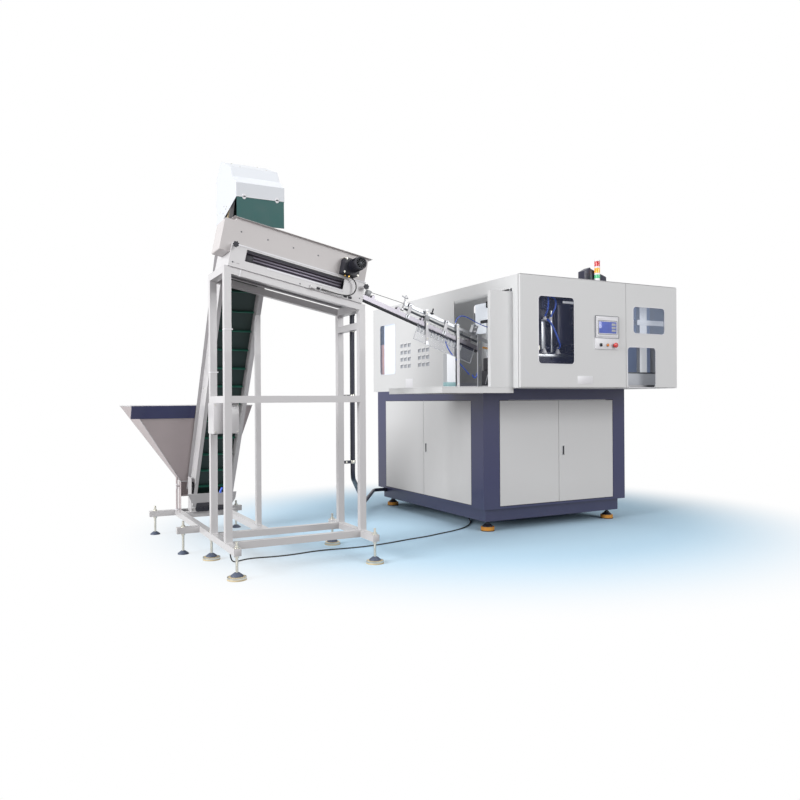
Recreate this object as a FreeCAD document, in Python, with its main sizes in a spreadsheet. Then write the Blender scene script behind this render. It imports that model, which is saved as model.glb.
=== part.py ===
"""Blow moulding machine with its preform feeder, in millimetres.

X runs along the front of the machine, from the feeder on the left to the machine on the right, Y runs
from the front to the back and Z up from the floor. Every piece is placed from the front left corner of
the machine's plinth, and the finished pieces are then shifted so that the frame's origin lies on the
floor under the middle of the whole line.
"""

import FreeCAD, Part

import math
import os
import re

import Sketcher
from FreeCAD import Vector

SIZES = [
    # Base cabinet
    ("base_wide", 1700, "outer width of the welded base frame"),
    ("base_deep", 2150, "outer depth of the welded base frame"),
    ("base_top", 1300, "top of the base frame above the floor"),
    ("plinth_inset", 50, "how far the plinth stands back under the frame"),
    ("plinth_low", 96, "underside of the plinth, on its damping feet"),
    ("plinth_top", 210, "top of the plinth"),
    ("post_deep", 60, "depth of the frame's folded posts and rails"),
    ("front_post_left", 175, "width of the left post, seen from the front"),
    ("front_post_right", 155, "width of the right post, seen from the front"),
    ("side_post_front", 199, "width of the front post, seen from the left"),
    ("side_post_rear", 200, "width of the rear post, seen from the left"),
    ("top_rail", 103, "height of the top rail"),
    ("bottom_rail", 20, "height of the bottom rail"),
    ("sheet", 2, "thickness of the folded panels"),
    ("fixed_gap", 1, "gap round a fixed cabinet panel"),
    # Cabinet doors and their latches
    ("door_deep", 22, "depth of a folded cabinet door"),
    ("door_gap", 5, "gap round a cabinet door"),
    ("door_meet", 4, "gap between two leaves"),
    ("side_meet_off", 11, "meeting line of the left doors behind the middle of their opening"),
    ("pivot_in", 9, "pivot pin behind the door's face and in from its edge"),
    ("pivot_block", 34, "side of the block that holds a pivot bore"),
    ("pin_radius", 4, "radius of a pivot pin"),
    ("pin_reach", 20, "length of a pivot pin inside its bore"),
    ("running_gap", 0.3, "radial gap of the pins and shafts that turn or slide"),
    ("latch_up", 718, "height of the latches above the floor"),
    ("latch_off", 50, "latch centre from the meeting edge of its leaf"),
    ("latch_wide", 24, "width of a latch paddle"),
    ("latch_tall", 78, "height of a latch paddle"),
    ("latch_proud", 3, "how far a latch paddle stands out of the door"),
    ("latch_thick", 10, "thickness of a latch paddle"),
    ("latch_room", 6, "room under a latch paddle for its swing"),
    ("latch_recess", 16, "depth of the latch recess"),
    ("latch_foot", 5, "paddle below its pivot"),
    ("latch_pin", 2, "radius of the latch pivot"),
    # Damping feet of the machine
    ("plinth_wall", 140, "width of the plinth's rim, seen from below"),
    ("foot_inset", 75, "damping foot centre in from the plinth's edges"),
    ("foot_radius", 62, "radius of a damping foot"),
    ("foot_rubber", 40, "height of its rubber"),
    ("foot_cap", 18, "height of its cap"),
    ("foot_shoulder", 53, "radius of the cap where it meets the rubber"),
    ("foot_neck", 31, "radius of the cap's top"),
    ("foot_stud", 12, "radius of its stud"),
    # Upper enclosure
    ("enclosure_tall", 950, "height of the enclosure above the base"),
    ("front_overhang", 550, "enclosure beyond the base at the front"),
    ("right_overhang", 125, "enclosure beyond the base at the right"),
    ("rear_overhang", 110, "enclosure beyond the base at the rear"),
    ("pan", 3, "thickness of the enclosure's floor sheet"),
    ("frame_tube", 40, "side of the enclosure's square tube"),
    ("guard_deep", 25, "depth of the folded guard doors"),
    ("guard_gap", 6, "gap behind the guard doors"),
    ("guard_end", 3, "gap above and below the guard doors"),
    ("guard_seam", 1130, "seam between the guard door and the service door"),
    ("guard_meet", 4, "gap at that seam"),
    ("guard_pivot", 12, "guard door pivot in from its edge and face"),
    ("corner_round", 30, "corner radius of the windows"),
    ("window_left", 140, "left edge of the front window"),
    ("window_wide", 385, "width of the front window"),
    ("window_low", 1505, "lower edge of the front window"),
    ("window_tall", 570, "height of the front window"),
    ("pane", 5, "thickness of the window panes"),
    ("pane_lap", 16, "how far a pane laps behind its sheet"),
    ("upper_light_in", 91, "service door's window in from the seam"),
    ("upper_light_right", 161, "and in from the enclosure's right edge"),
    ("upper_light_low", 1800, "its lower edge"),
    ("upper_light_tall", 240, "its height"),
    ("hatch_in", 20, "opening low in the service door in from the seam"),
    ("hatch_right", 278, "and in from the enclosure's right edge"),
    ("hatch_top", 1670, "its upper edge"),
    ("load_front", -490, "front edge of the loading opening"),
    ("load_deep", 920, "its length from front to back"),
    ("load_low", 1312, "its lower edge"),
    ("load_top", 2140, "its upper edge"),
    ("side_window_in", 180, "rear edge of the left window in from the enclosure's back"),
    ("side_window_deep", 370, "its length from front to back"),
    ("side_window_low", 1495, "its lower edge"),
    ("side_window_tall", 555, "its height"),
    ("louvre_ahead", 358, "rear group of louvres starts this far in front of the left window"),
    ("louvre_apart", 392, "from the front group of louvres to the rear group"),
    ("louvre_low", 1548, "lower edge of the louvres"),
    ("louvre_deep", 62, "length of one louvre"),
    ("louvre_tall", 44, "height of one louvre"),
    ("louvre_step", 84, "pitch of the louvres from front to back"),
    ("louvre_rise", 74, "pitch of the louvres upwards"),
    ("louvre_hood", 9, "how far a louvre hood stands out"),
    ("roof_open_left", 200, "opening in the roof in from its left edge"),
    ("roof_open_right", 325, "from its right edge"),
    ("roof_open_front", 900, "from its front edge"),
    ("roof_open_back", 310, "and from its back edge"),
    # Control panel on the guard door
    ("panel_left", 762, "left edge of the control plate"),
    ("panel_wide", 270, "width of the control plate"),
    ("panel_low", 1643, "lower edge of the control plate"),
    ("panel_tall", 292, "height of the control plate"),
    ("panel_thick", 9, "thickness of the control plate"),
    ("screen_in", 18, "touch screen housing in from the plate's left and right edges"),
    ("screen_low", 1755, "lower edge of the touch screen housing"),
    ("screen_tall", 160, "height of the touch screen housing"),
    ("screen_thick", 7, "how far the housing stands out"),
    ("glass_in", 14, "display glass in from the housing's edges"),
    ("glass_thick", 2, "depth of the display glass's recess"),
    ("button_up", 1680, "height of the row of controls"),
    ("switch_across", 819, "place of the selector switch"),
    ("start_across", 899, "place of the start button"),
    ("stop_across", 977, "place of the emergency stop"),
    ("button_stem", 11, "radius of the stems of the controls"),
    ("button_out", 10, "how far a control stands out of the plate"),
    ("button_in", 3, "how deep a stem reaches into the plate"),
    ("grip_wide", 6.6, "width of the selector's grip"),
    ("grip_tall", 20, "height of the selector's grip"),
    ("stop_radius", 20, "radius of the emergency stop's mushroom head"),
    ("stop_head", 12, "thickness of that head"),
    ("stop_stand", 16, "mushroom head in front of the plate"),
    # Loading cowl and shelf on the left face
    ("cowl_left", -280, "left edge of the cowl plate"),
    ("cowl_front", -500, "front face of the cowl plate"),
    ("cowl_top", 2110, "top of the cowl plate"),
    ("cowl_return", 40, "width of the cowl's folded lips"),
    ("shelf_left", -750, "left end of the loading shelf"),
    ("shelf_top", 1308, "top of the loading shelf"),
    ("shelf_tall", 51, "height of its folded front"),
    ("shelf_back", 430, "rear edge of the loading shelf"),
    # Roof
    ("tower_across", 1070, "signal tower from the plinth's corner"),
    ("tower_back", -300, "signal tower from the plinth's front"),
    ("tower_radius", 27, "radius of the signal tower"),
    ("tower_base", 60, "height of the tower's base"),
    ("tower_tier", 62, "height of one lamp"),
    ("tower_cap", 12, "height of the tower's cap"),
    ("blower_left", 840, "left side of the roof blower"),
    ("blower_wide", 165, "its width"),
    ("blower_front", -390, "its front"),
    ("blower_deep", 200, "its depth"),
    ("blower_tall", 165, "its height"),
    ("blower_slope", 45, "drop of its sloping left shoulder"),
    # Machine bed and mould clamp
    ("bed_left", 70, "machine bed in from the enclosure's left face"),
    ("bed_right", 55, "from its right face"),
    ("bed_front", 80, "from its front"),
    ("bed_back", 150, "and from its back"),
    ("bed_thick", 27, "thickness of the machine bed"),
    ("clamp_mid", -200, "middle of the mould clamp from the plinth's front"),
    ("beam_left", 100, "left end of the clamp's beam"),
    ("beam_wide", 1080, "length of the clamp's beam"),
    ("beam_deep", 460, "depth of the clamp's beam"),
    ("beam_top", 1600, "top of the clamp's beam"),
    ("way_thick", 15, "thickness of the guide way on the beam"),
    ("rear_plate_left", 300, "left face of the clamp's rear plate"),
    ("platen_thick", 55, "thickness of the platens"),
    ("platen_tall", 520, "height of the platens"),
    ("fixed_platen_left", 1105, "left face of the fixed platen"),
    ("tie_radius", 20, "radius of the tie bars"),
    ("tie_out", 195, "tie bars from the clamp's middle"),
    ("tie_low", 38, "lower tie bars above the guide way"),
    ("tie_drop", 35, "upper tie bars below the platens' top"),
    ("cylinder_radius", 80, "radius of the clamp cylinder"),
    ("cylinder_long", 180, "length of the clamp cylinder"),
    ("ram_radius", 30, "radius of the clamp ram"),
    ("ram_up", 1880, "height of the clamp ram"),
    ("ram_inside", 150, "ram inside the cylinder with the clamp open"),
    ("mould_thick", 185, "thickness of a mould half"),
    ("mould_deep", 300, "depth of the mould"),
    ("mould_low", 1700, "underside of the mould"),
    ("mould_tall", 360, "height of the mould"),
    ("clamp_travel", 104.7, "opening stroke of the clamp"),
    ("cavity_radius", 45, "radius of a bottle cavity"),
    ("cavity_low", 45, "cavity floor above the mould's underside"),
    ("cavity_tall", 270, "height of a bottle cavity"),
    ("cavity_off", 70, "cavities from the clamp's middle"),
    ("neck_radius", 15, "radius of the bottle neck in the mould"),
    ("rod_radius", 8, "radius of a stretch rod"),
    ("carriage_low", 1632, "underside of the stretch carriage"),
    ("carriage_thick", 15, "thickness of the stretch carriage"),
    ("carriage_deep", 200, "depth of the stretch carriage"),
    ("carriage_reach", 178, "carriage on each side of the parting plane"),
    ("guide_off", 155, "guide rods from the parting plane"),
    ("guide_radius", 10, "radius of the carriage's guide rods"),
    ("guide_tall", 78, "height of the guide rods above the way"),
    ("wall_across", 300, "place of the inner guard wall"),
    ("wall_front", 60, "front edge of the inner guard wall"),
    ("wall_deep", 940, "length of the inner guard wall"),
    ("wall_drop", 50, "top of the inner guard wall below the roof"),
    ("pass_front", 40, "opening in that wall in from its front edge"),
    ("pass_deep", 520, "its length"),
    ("pass_drop", 55, "its upper edge below the wall's top"),
    ("pass_tall", 295, "its height"),
    ("oven_left", 340, "left side of the heating tunnel"),
    ("oven_wide", 460, "its width"),
    ("oven_front", 700, "its front end"),
    ("oven_deep", 1200, "its length"),
    ("oven_tall", 570, "its height"),
    ("oven_wall", 12, "thickness of its walls"),
    ("profile_in", 222, "aluminium profile post in from the enclosure's right face"),
    ("profile_wide", 90, "its width"),
    ("profile_front", -440, "its front"),
    ("profile_deep", 40, "its depth"),
    ("profile_drop", 60, "its top below the roof"),
    ("cross_past", 33, "cross bar past the post's left side"),
    ("cross_low", 1900, "underside of the cross bar"),
    ("cross_tall", 44, "height of the cross bar"),
    ("kick_in", 105, "grey kick plate behind the hatch in from the enclosure's right face"),
    ("kick_wide", 500, "its width"),
    ("kick_top", 1446, "its top"),
    # Feeder stand
    ("stand_left", -2467, "outer left face of the feeder stand"),
    ("stand_front", -430, "outer front face of its posts"),
    ("stand_wide", 1080, "outer width of the stand"),
    ("stand_deep", 470, "outer depth of the stand over its posts"),
    ("tube", 50, "side of the stand's square tube"),
    ("skid_top", 212, "top of the stand's base beams"),
    ("skid_front", -655, "front end of the skids"),
    ("right_skid_deep", 870, "length of the right skid"),
    ("left_skid_deep", 2085, "length of the left skid"),
    ("mid_top", 1238, "top of the middle beams"),
    ("side_tie_top", 1798, "top of the tie between the right posts"),
    ("stand_top", 2152, "top of the sloping frame at its left end"),
    ("trough_tilt", 11.5, "slope of the trough in degrees"),
    ("stub_one_back", 380, "front side of the first outrigger"),
    ("stub_one_left", -2640, "left end of the first outrigger"),
    ("stub_two_left", -2690, "left end of the rear outrigger"),
    ("rear_beam_right", -1850, "right end of the rear beam"),
    ("tail_beam_back", 1180, "front side of the beam under the elevator's foot"),
    ("centre_skid_left", -2060, "left side of the beam that carries the leg"),
    ("leg_back", 205, "front side of the elevator's leg"),
    ("leg_side", 40, "side of the leg's square tube"),
    ("pad_tall", 22, "height of the beige foot pads"),
    ("pad_radius", 65, "radius of the foot pads"),
    ("cup_radius", 42, "radius of a levelling foot"),
    ("cup_tall", 26, "height of a levelling foot's cup"),
    ("stem_radius", 9, "radius of a levelling foot's stem"),
    ("nut_radius", 16, "size of the nut on the stem"),
    ("nut_tall", 14, "height of the nuts on the stem"),
    ("stem_over", 46, "how far a stem stands above its beam"),
    # Elevator
    ("elevator_left", -2365, "outer left edge of the elevator's cheeks"),
    ("elevator_wide", 350, "width over the cheeks"),
    ("cheek_flange", 30, "width of a cheek's flanges"),
    ("cheek_half", 140, "half the depth of a cheek"),
    ("lean", 30, "lean of the elevator from the upright in degrees"),
    ("tail_back", 1213, "tail drum behind the plinth's front"),
    ("tail_up", 420, "tail drum above the floor"),
    ("drum_apart", 2540, "distance between the two drums"),
    ("cheek_past", 110, "cheeks beyond each drum"),
    ("drum_radius", 75, "radius of the drums"),
    ("drum_side", 6, "gap between a drum and the cheeks"),
    ("shaft_radius", 15, "radius of the drum shafts"),
    ("belt_thick", 4, "thickness of the belt"),
    ("belt_side", 12, "gap between the belt and the cheeks"),
    ("cleat_tall", 28, "height of a cleat"),
    ("cleat_thick", 5, "thickness of a cleat"),
    ("cleats_a_run", 15, "cleats on each straight run"),
    ("slider_thick", 3, "thickness of the slider bed inside the belt"),
    ("slider_gap", 1.5, "gap between the slider bed and the belt"),
    ("bearing_side", 84, "side of a flange bearing"),
    ("bearing_thick", 24, "thickness of a flange bearing"),
    ("apron_left", -2420, "left end of the boot's apron"),
    ("apron_right", -1985, "right end of the boot's apron"),
    ("apron_fold", 75, "run of the apron's sloping left side"),
    ("apron_up", 40, "top of the apron past the tail drum"),
    ("foot_plate", 6, "thickness of the elevator's foot"),
    ("foot_start", 1155, "front edge of the elevator's foot"),
    ("foot_run", 135, "length of the elevator's foot"),
    ("foot_top", 520, "top of the elevator's foot"),
    # Hood and curtain over the head drum
    ("hood_front", -390, "front of the hood's flap from the plinth's front"),
    ("hood_foot", 2560, "lower edge of the hood above the floor"),
    ("hood_flap_lift", 90, "lower edge of the flap above the hood's foot"),
    ("hood_flap_tall", 100, "height of the flap"),
    ("hood_fold_run", 100, "run of the slope above the flap"),
    ("hood_fold_rise", 70, "and its rise"),
    ("hood_nose_run", 60, "run of the hood's steep face"),
    ("hood_nose_rise", 90, "and its rise"),
    ("hood_brow_run", 280, "run of the hood's top slope"),
    ("hood_brow_rise", 110, "and its rise up to the ridge"),
    ("hood_rear_run", 140, "run of the slope behind the ridge"),
    ("hood_rear_drop", 120, "and its drop"),
    ("hood_side_run", 390, "run of the side's slanting lower edge"),
    ("curtain_drop", 195, "how far the curtain hangs below the flap"),
    ("curtain_thick", 3, "thickness of the curtain"),
    ("curtain_lap", 60, "how far the curtain laps behind the flap"),
    # Hopper
    ("hopper_left", -2900, "left rim of the hopper"),
    ("hopper_wide", 1030, "width of the hopper at its rim"),
    ("hopper_deep", 740, "depth of the hopper at its rim"),
    ("hopper_top", 1165, "rim of the hopper above the floor"),
    ("hopper_low", 470, "lower end of the hopper's funnel"),
    ("hopper_gap", 12, "gap between the elevator's cheeks and the hopper"),
    ("outlet_left", -2420, "left side of the hopper's outlet"),
    ("outlet_wide", 420, "width of the outlet"),
    ("outlet_deep", 120, "depth of the outlet"),
    ("outlet_floor", 330, "floor of the boot under the outlet"),
    ("floor_back", 1392, "front edge of that floor"),
    ("hopper_leg_off", 29, "hopper's leg from the outlet's left side"),
    ("hopper_leg_radius", 8, "radius of the hopper's leg"),
    ("hopper_leg_past", 60, "highest end of the leg above the funnel's foot"),
    ("hopper_link_drop", 47, "link from the leg to the boot below the funnel's foot"),
    ("board_tall", 110, "height of the navy rim board"),
    ("board_thick", 12, "thickness of the rim board"),
    # Roller trough
    ("trough_in", 25, "trough in from the stand's left end"),
    ("trough_long", 1044, "length of the trough"),
    ("trough_tall", 163, "height of the trough"),
    ("trough_front", -443, "front face of the trough"),
    ("trough_deep", 400, "depth of the trough"),
    ("trough_wall", 3, "wall of the trough"),
    ("trough_ledge", 34, "width of the trough's folded edges"),
    ("slot_in", 135, "slot in from the trough's left end"),
    ("slot_long", 760, "length of the slot"),
    ("slot_low", 60, "slot above the trough's foot"),
    ("slot_tall", 84, "height of the slot"),
    ("guard_back", 22, "guard plate behind the trough's face"),
    ("guard_tall", 190, "height of the guard plate"),
    ("guard_lip", 24, "width of the guard's outward lip"),
    ("pocket_wide", 80, "width of the pocket at the left end"),
    ("pocket_deep", 230, "its depth"),
    ("pocket_low", 60, "its foot below the guard's foot"),
    ("roller_radius", 34, "radius of the rollers"),
    ("roller_axis", 193, "first roller's axis behind the trough's face"),
    ("roller_space", 32, "space between the rollers"),
    ("roller_up", 98, "roller axes above the trough's foot"),
    ("journal_radius", 12, "radius of the roller journals"),
    ("block_wide", 22, "thickness of a roller bearing along the roller"),
    ("block_side", 62, "side of a roller bearing"),
    ("exit_low", 50, "lower edge of the exit"),
    ("gearbox_in", 825, "gearbox from the trough's left end"),
    ("gearbox_wide", 124, "width of the gearbox"),
    ("gearbox_low", 172, "gearbox above the trough's foot"),
    ("gearbox_tall", 118, "height of the gearbox"),
    ("gearbox_deep", 90, "depth of the gearbox"),
    ("motor_radius", 45, "radius of the motor"),
    ("motor_long", 116, "length of the motor"),
    ("motor_in", 78, "motor axis from the gearbox's left side"),
    ("motor_up", 74, "motor axis above the gearbox's foot"),
    ("gland_in", 30, "cable gland from the gearbox's left side"),
    ("gland_drop", 12, "cable gland's axis below the gearbox"),
    ("gland_radius", 8, "radius of the cable gland"),
    ("gland_long", 22, "length of the cable gland"),
    ("entry_in", 615, "cable entry from the trough's left end"),
    ("entry_long", 40, "length of the cable entry"),
    ("entry_deep", 28, "how far the cable entry stands out"),
    ("entry_low", 4, "cable entry above the trough's foot"),
    ("entry_tall", 26, "height of the cable entry"),
    ("knob_radius", 21, "radius of the star knobs"),
    ("knob_thick", 18, "thickness of the star knobs"),
    ("knob_scallop", 7, "radius of a star knob's hollows"),
    ("knob_stand", 55, "length of the studs in front of the trough"),
    ("stud_radius", 5, "radius of the studs"),
    ("knob_left_in", 14, "left stud from the trough's left end"),
    ("knob_right_in", 12, "right stud from the trough's right end"),
    ("knob_left_up", 146, "left stud above the trough's foot"),
    ("knob_right_up", 120, "right stud above the trough's foot"),
    # Chute between the feeder and the machine
    ("chute_tilt", 19.3, "slope of the chute in degrees"),
    ("chute_seat", 93, "chute above the trough's foot where it starts"),
    ("chute_long", 1262, "length of the chute's rails"),
    ("rail_tall", 45, "height of a rail"),
    ("rail_thick", 10, "thickness of a rail"),
    ("chute_space", 24, "space between the rails"),
    ("tie_every", 240, "pitch of the cross ties"),
    ("tie_wide", 26, "width of a cross tie"),
    ("tie_thick", 8, "thickness of a cross tie"),
    ("tie_ahead", 175, "first cross tie from the upper end"),
    ("guide_start", 462, "top guide from the chute's upper end"),
    ("guide_long", 905, "length of the top guide"),
    ("guide_up", 112, "top guide above the rails' foot"),
    ("guide_bar", 24, "height of the top guide"),
    ("guide_thick", 20, "thickness of the top guide"),
    ("hanger_first", 497, "first white hanger from the upper end"),
    ("hanger_second", 865, "second white hanger"),
    ("hanger_wide", 28, "width of a hanger"),
    ("hanger_thick", 6, "thickness of a hanger"),
    ("strap_first", -742, "left side of the first strap"),
    ("strap_second", -439, "left side of the second strap"),
    ("strap_wide", 24, "width of a strap"),
    ("strap_thick", 8, "thickness of a strap"),
    ("strap_up", 190, "straps above the rails' foot"),
    ("strap_down", 130, "first strap below the rails' foot"),
    ("end_plate_left", -228, "left side of the plate that holds the chute's lower end"),
    ("end_plate_wide", 42, "width of that plate"),
    ("side_guard_in", 620, "clear side guard from the upper end"),
    ("side_guard_long", 590, "its length"),
    ("side_guard_tall", 125, "its height"),
    ("side_guard_thick", 4, "its thickness"),
    ("chute_post_left", -535, "left side of the chute's post"),
    ("chute_post_wide", 84, "width of the post"),
    ("chute_post_deep", 60, "depth of the post"),
    ("gate_in", 1140, "gate from the chute's upper end"),
    ("gate_thick", 6, "thickness of the gate plate"),
    ("gate_tall", 52, "height of the gate plate"),
    ("gate_travel", 30, "stroke of the gate"),
    ("gate_body", 44, "side of the gate's cylinder"),
    ("gate_long", 70, "length of the gate's cylinder"),
    ("gate_rod", 5, "radius of the gate's piston rod"),
    ("preform_radius", 11, "radius of a preform"),
    ("preform_long", 92, "length of a preform below its ring"),
    ("preform_ring", 15, "radius of a preform's support ring"),
    ("preform_neck", 18, "height of a preform's neck"),
    ("preform_every", 33, "pitch of the preforms"),
    ("preform_start", 655, "first preform from the upper end"),
    ("preform_count", 14, "preforms in the chute"),
    # Control box, conduit and hoses
    ("box_left", -2528, "left side of the feeder's control box"),
    ("box_wide", 185, "its width"),
    ("box_front", -350, "its front"),
    ("box_deep", 160, "its depth"),
    ("box_tall", 216, "its height"),
    ("conduit_across", -1300, "conduit beside the rear right post"),
    ("conduit_radius", 19, "radius of the conduit"),
    ("conduit_low", 565, "lower end of the conduit"),
    ("conduit_top", 1930, "upper end of the conduit"),
    ("conduit_bend", 90, "bend radius of the conduit's axis"),
    ("conduit_back", 1990, "where the conduit meets the machine, from the plinth's front"),
    ("conduit_reach", 160, "conduit's last straight run, square to the machine"),
    ("conduit_end", 185, "height of the conduit below the left doors and into the plinth"),
    ("conduit_turn", -696, "where the conduit has come down to that height"),
    ("conduit_turn_back", 1109, "the same place from the plinth's front"),
    ("clip_tall", 24, "height of the conduit's clips"),
    ("clip_first", 120, "first clip above the conduit's lower end"),
    ("clip_every", 540, "pitch of the conduit's clips"),
    ("motor_cable_radius", 4.5, "radius of the motor cable"),
    ("floor_cable_radius", 5, "radius of the floor cable"),
    ("air_hose_radius", 4, "radius of the air hose"),
    ("fitting_in", 970, "hose fitting from the chute's upper end"),
    ("fitting_radius", 7, "radius of the hose fitting"),
    ("fitting_tall", 20, "height of the hose fitting"),
]

doc = FreeCAD.newDocument("blow_moulding_machine")
sheet = doc.addObject("Spreadsheet::Sheet", "Sizes")
for row, (alias, size, meaning) in enumerate(SIZES, 1):
    sheet.set("A%d" % row, meaning)
    sheet.set("B%d" % row, str(size))
    sheet.setAlias("B%d" % row, alias)
doc.recompute()
size = {alias: float(sheet.get(alias)) for alias, _, _ in SIZES}

UP = Vector(0, 0, 1)
DOWN = Vector(0, 0, -1)
LEFT = Vector(-1, 0, 0)
RIGHT = Vector(1, 0, 0)
FRONT = Vector(0, -1, 0)
REAR = Vector(0, 1, 0)
AXES = {"x": RIGHT, "y": REAR, "z": UP}
PAST = 1  # how far a cutting block reaches past the face that it opens


def bound(formula):
    """Return a formula with each size name read from the sheet."""
    return re.sub(r"\b([a-z][a-z_]*)\b(?!\()", r"Sizes.\1", formula)



def box(x, y, z):
    """Make a block between pairs of formulas along X, Y and Z."""
    block = doc.addObject("Part::Box", "Block")
    for side, place, (low, high) in zip(("Length", "Width", "Height"), "xyz", (x, y, z)):
        block.setExpression(side, bound("(%s) - (%s)" % (high, low)))
        block.setExpression("Placement.Base." + place, bound(low))
    return block


def rod(axis, centre, radius, span):
    """Make a cylinder along an axis; centre holds the other two coordinates in the order X, Y, Z."""
    bar = doc.addObject("Part::Cylinder", "Rod")
    low, high = span
    bar.setExpression("Radius", bound(radius))
    bar.setExpression("Height", bound("(%s) - (%s)" % (high, low)))
    base = list(centre)
    base.insert("xyz".index(axis), low)
    turn = {"x": "vector(0; 1; 0); 90", "y": "vector(1; 0; 0); -90", "z": "vector(0; 0; 1); 0"}[axis]
    bar.setExpression("Placement", bound("placement(vector(%s; %s; %s); rotation(%s))" % (*base, turn)))
    return bar


def profile(plane, points, span):
    """Pad a polygon drawn on a principal plane, over a span of the axis across it."""
    body = doc.addObject("PartDesign::Body", "Body")
    sketch = body.newObject("Sketcher::SketchObject", "Outline")
    base = [part for part in body.Origin.OriginFeatures if part.Role == plane + "_Plane"][0]
    sketch.AttachmentSupport = (base, [""])
    sketch.MapMode = "FlatFace"
    low, high = span
    start = "-(%s)" % high if plane == "XZ" else low
    sketch.setExpression("AttachmentOffset.Base.z", bound(start))
    ring = Part.makeCircle(size["base_top"]).discretize(len(points) + 1)
    for here, following in zip(ring, ring[1:]):
        sketch.addGeometry(Part.LineSegment(here, following), False)
    for corner in range(len(points)):
        sketch.addConstraint(Sketcher.Constraint("Coincident", (corner - 1) % len(points), 2, corner, 1))
    for corner, place in enumerate(points):
        for kind, formula, now in zip(("DistanceX", "DistanceY"), place, ring[corner]):
            index = sketch.addConstraint(Sketcher.Constraint(kind, -1, 1, corner, 1, now))
            sketch.setExpression("Constraints[%d]" % index, bound(formula))
    pad = body.newObject("PartDesign::Pad", "Pad")
    pad.Profile = sketch
    pad.setExpression("Length", bound("(%s) - (%s)" % (high, low)))
    return body


def cut(base, *tools):
    """Take each tool away from a solid."""
    for tool in tools:
        left = doc.addObject("Part::Cut", "Cut")
        left.Base = base
        left.Tool = tool
        base = left
    return base


def fuse(*parts):
    """Join solids that are one piece."""
    whole = doc.addObject("Part::MultiFuse", "Whole")
    whole.Shapes = list(parts)
    whole.Refine = True
    return whole


def rounded(block, axis, radius):
    """Round the four edges of a block that run along one axis."""
    doc.recompute()
    smooth = doc.addObject("Part::Fillet", "Rounded")
    smooth.Base = block
    smooth.Edges = [(number, size[radius], size[radius]) for number, edge in enumerate(block.Shape.Edges, 1)
                    if abs(edge.tangentAt(edge.FirstParameter).dot(AXES[axis])) > 0.99]
    return smooth


def shelled(solid, open_sides, wall):
    """Hollow a solid inwards from the faces that look along the given directions."""
    doc.recompute()
    skin = doc.addObject("Part::Thickness", "Skin")
    skin.Faces = (solid, ["Face%d" % number for number, face in enumerate(solid.Shape.Faces, 1)
                          if any(face.normalAt(0, 0).dot(side) > 0.99 for side in open_sides)])
    skin.setExpression("Value", bound("-(%s)" % wall))
    skin.Join = 2
    return skin


def mid(low, high):
    """Return the formula of the middle of two others."""
    return "((%s) + (%s)) / 2" % (low, high)


def about(centre, half):
    """Return the formulas of a span on both sides of a centre."""
    return "(%s) - (%s)" % (centre, half), "(%s) + (%s)" % (centre, half)


nodes = []


def node(label, *parts, seat=("0", "0", "0"), turn=("0; 0; 1", "0")):
    """Finish a piece under its label: turn it, seat it and shift it into the frame of the whole line."""
    piece = doc.addObject("Part::Compound", label)
    piece.Label = label
    piece.Links = list(parts)
    place = "placement(vector(%s + %s; %s + %s; %s); rotation(vector(%s); %s))"
    place = place % (SHIFT_X, seat[0], SHIFT_Y, seat[1], seat[2], turn[0], turn[1])
    piece.setExpression("Placement", bound(place))
    nodes.append(piece)
    return piece


# Faces of the base frame and of the enclosure
BASE_LEFT = "(-plinth_inset)"
BASE_RIGHT = "(base_wide - plinth_inset)"
BASE_FRONT = "(-plinth_inset)"
BASE_BACK = "(base_deep - plinth_inset)"
ENC_LEFT = BASE_LEFT
ENC_RIGHT = "(base_wide - plinth_inset + right_overhang)"
ENC_FRONT = "(-plinth_inset - front_overhang)"
ENC_BACK = "(base_deep - plinth_inset + rear_overhang)"
ENC_TOP = "(base_top + enclosure_tall)"
PANEL_FRONT = "(-plinth_inset - front_overhang + guard_deep + guard_gap)"
BED_LOW = "(base_top + pan)"
BED_TOP = "(base_top + pan + bed_thick)"
FOOT_EDGE = "(skid_front + tube / 2 - pad_radius)"
SHIFT_X = "-(hopper_left + %s) / 2" % ENC_RIGHT
SHIFT_Y = "-(%s + %s) / 2" % (FOOT_EDGE, ENC_BACK)


# ---- Base cabinet ------------------------------------------------------------------------------------

SILL = "(plinth_top + bottom_rail)"
LINTEL = "(base_top - top_rail)"
FRONT_OPEN = ("(front_post_left - plinth_inset)", "(base_wide - plinth_inset - front_post_right)")
SIDE_OPEN = ("(side_post_front - plinth_inset)", "(base_deep - plinth_inset - side_post_rear)")


def on_face(side, along, inward, height):
    """Order ranges for the front face, whose doors lie along X, or the left face, whose doors lie along Y."""
    return (along, inward, height) if side == "front" else (inward, along, height)


def pivot(side, along, radius, span):
    """Make an upright cylinder on the pivot line of a cabinet door."""
    centre = (along, BASE_FRONT + " + pivot_in")
    return rod("z", centre if side == "front" else centre[::-1], radius, span)


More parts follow.
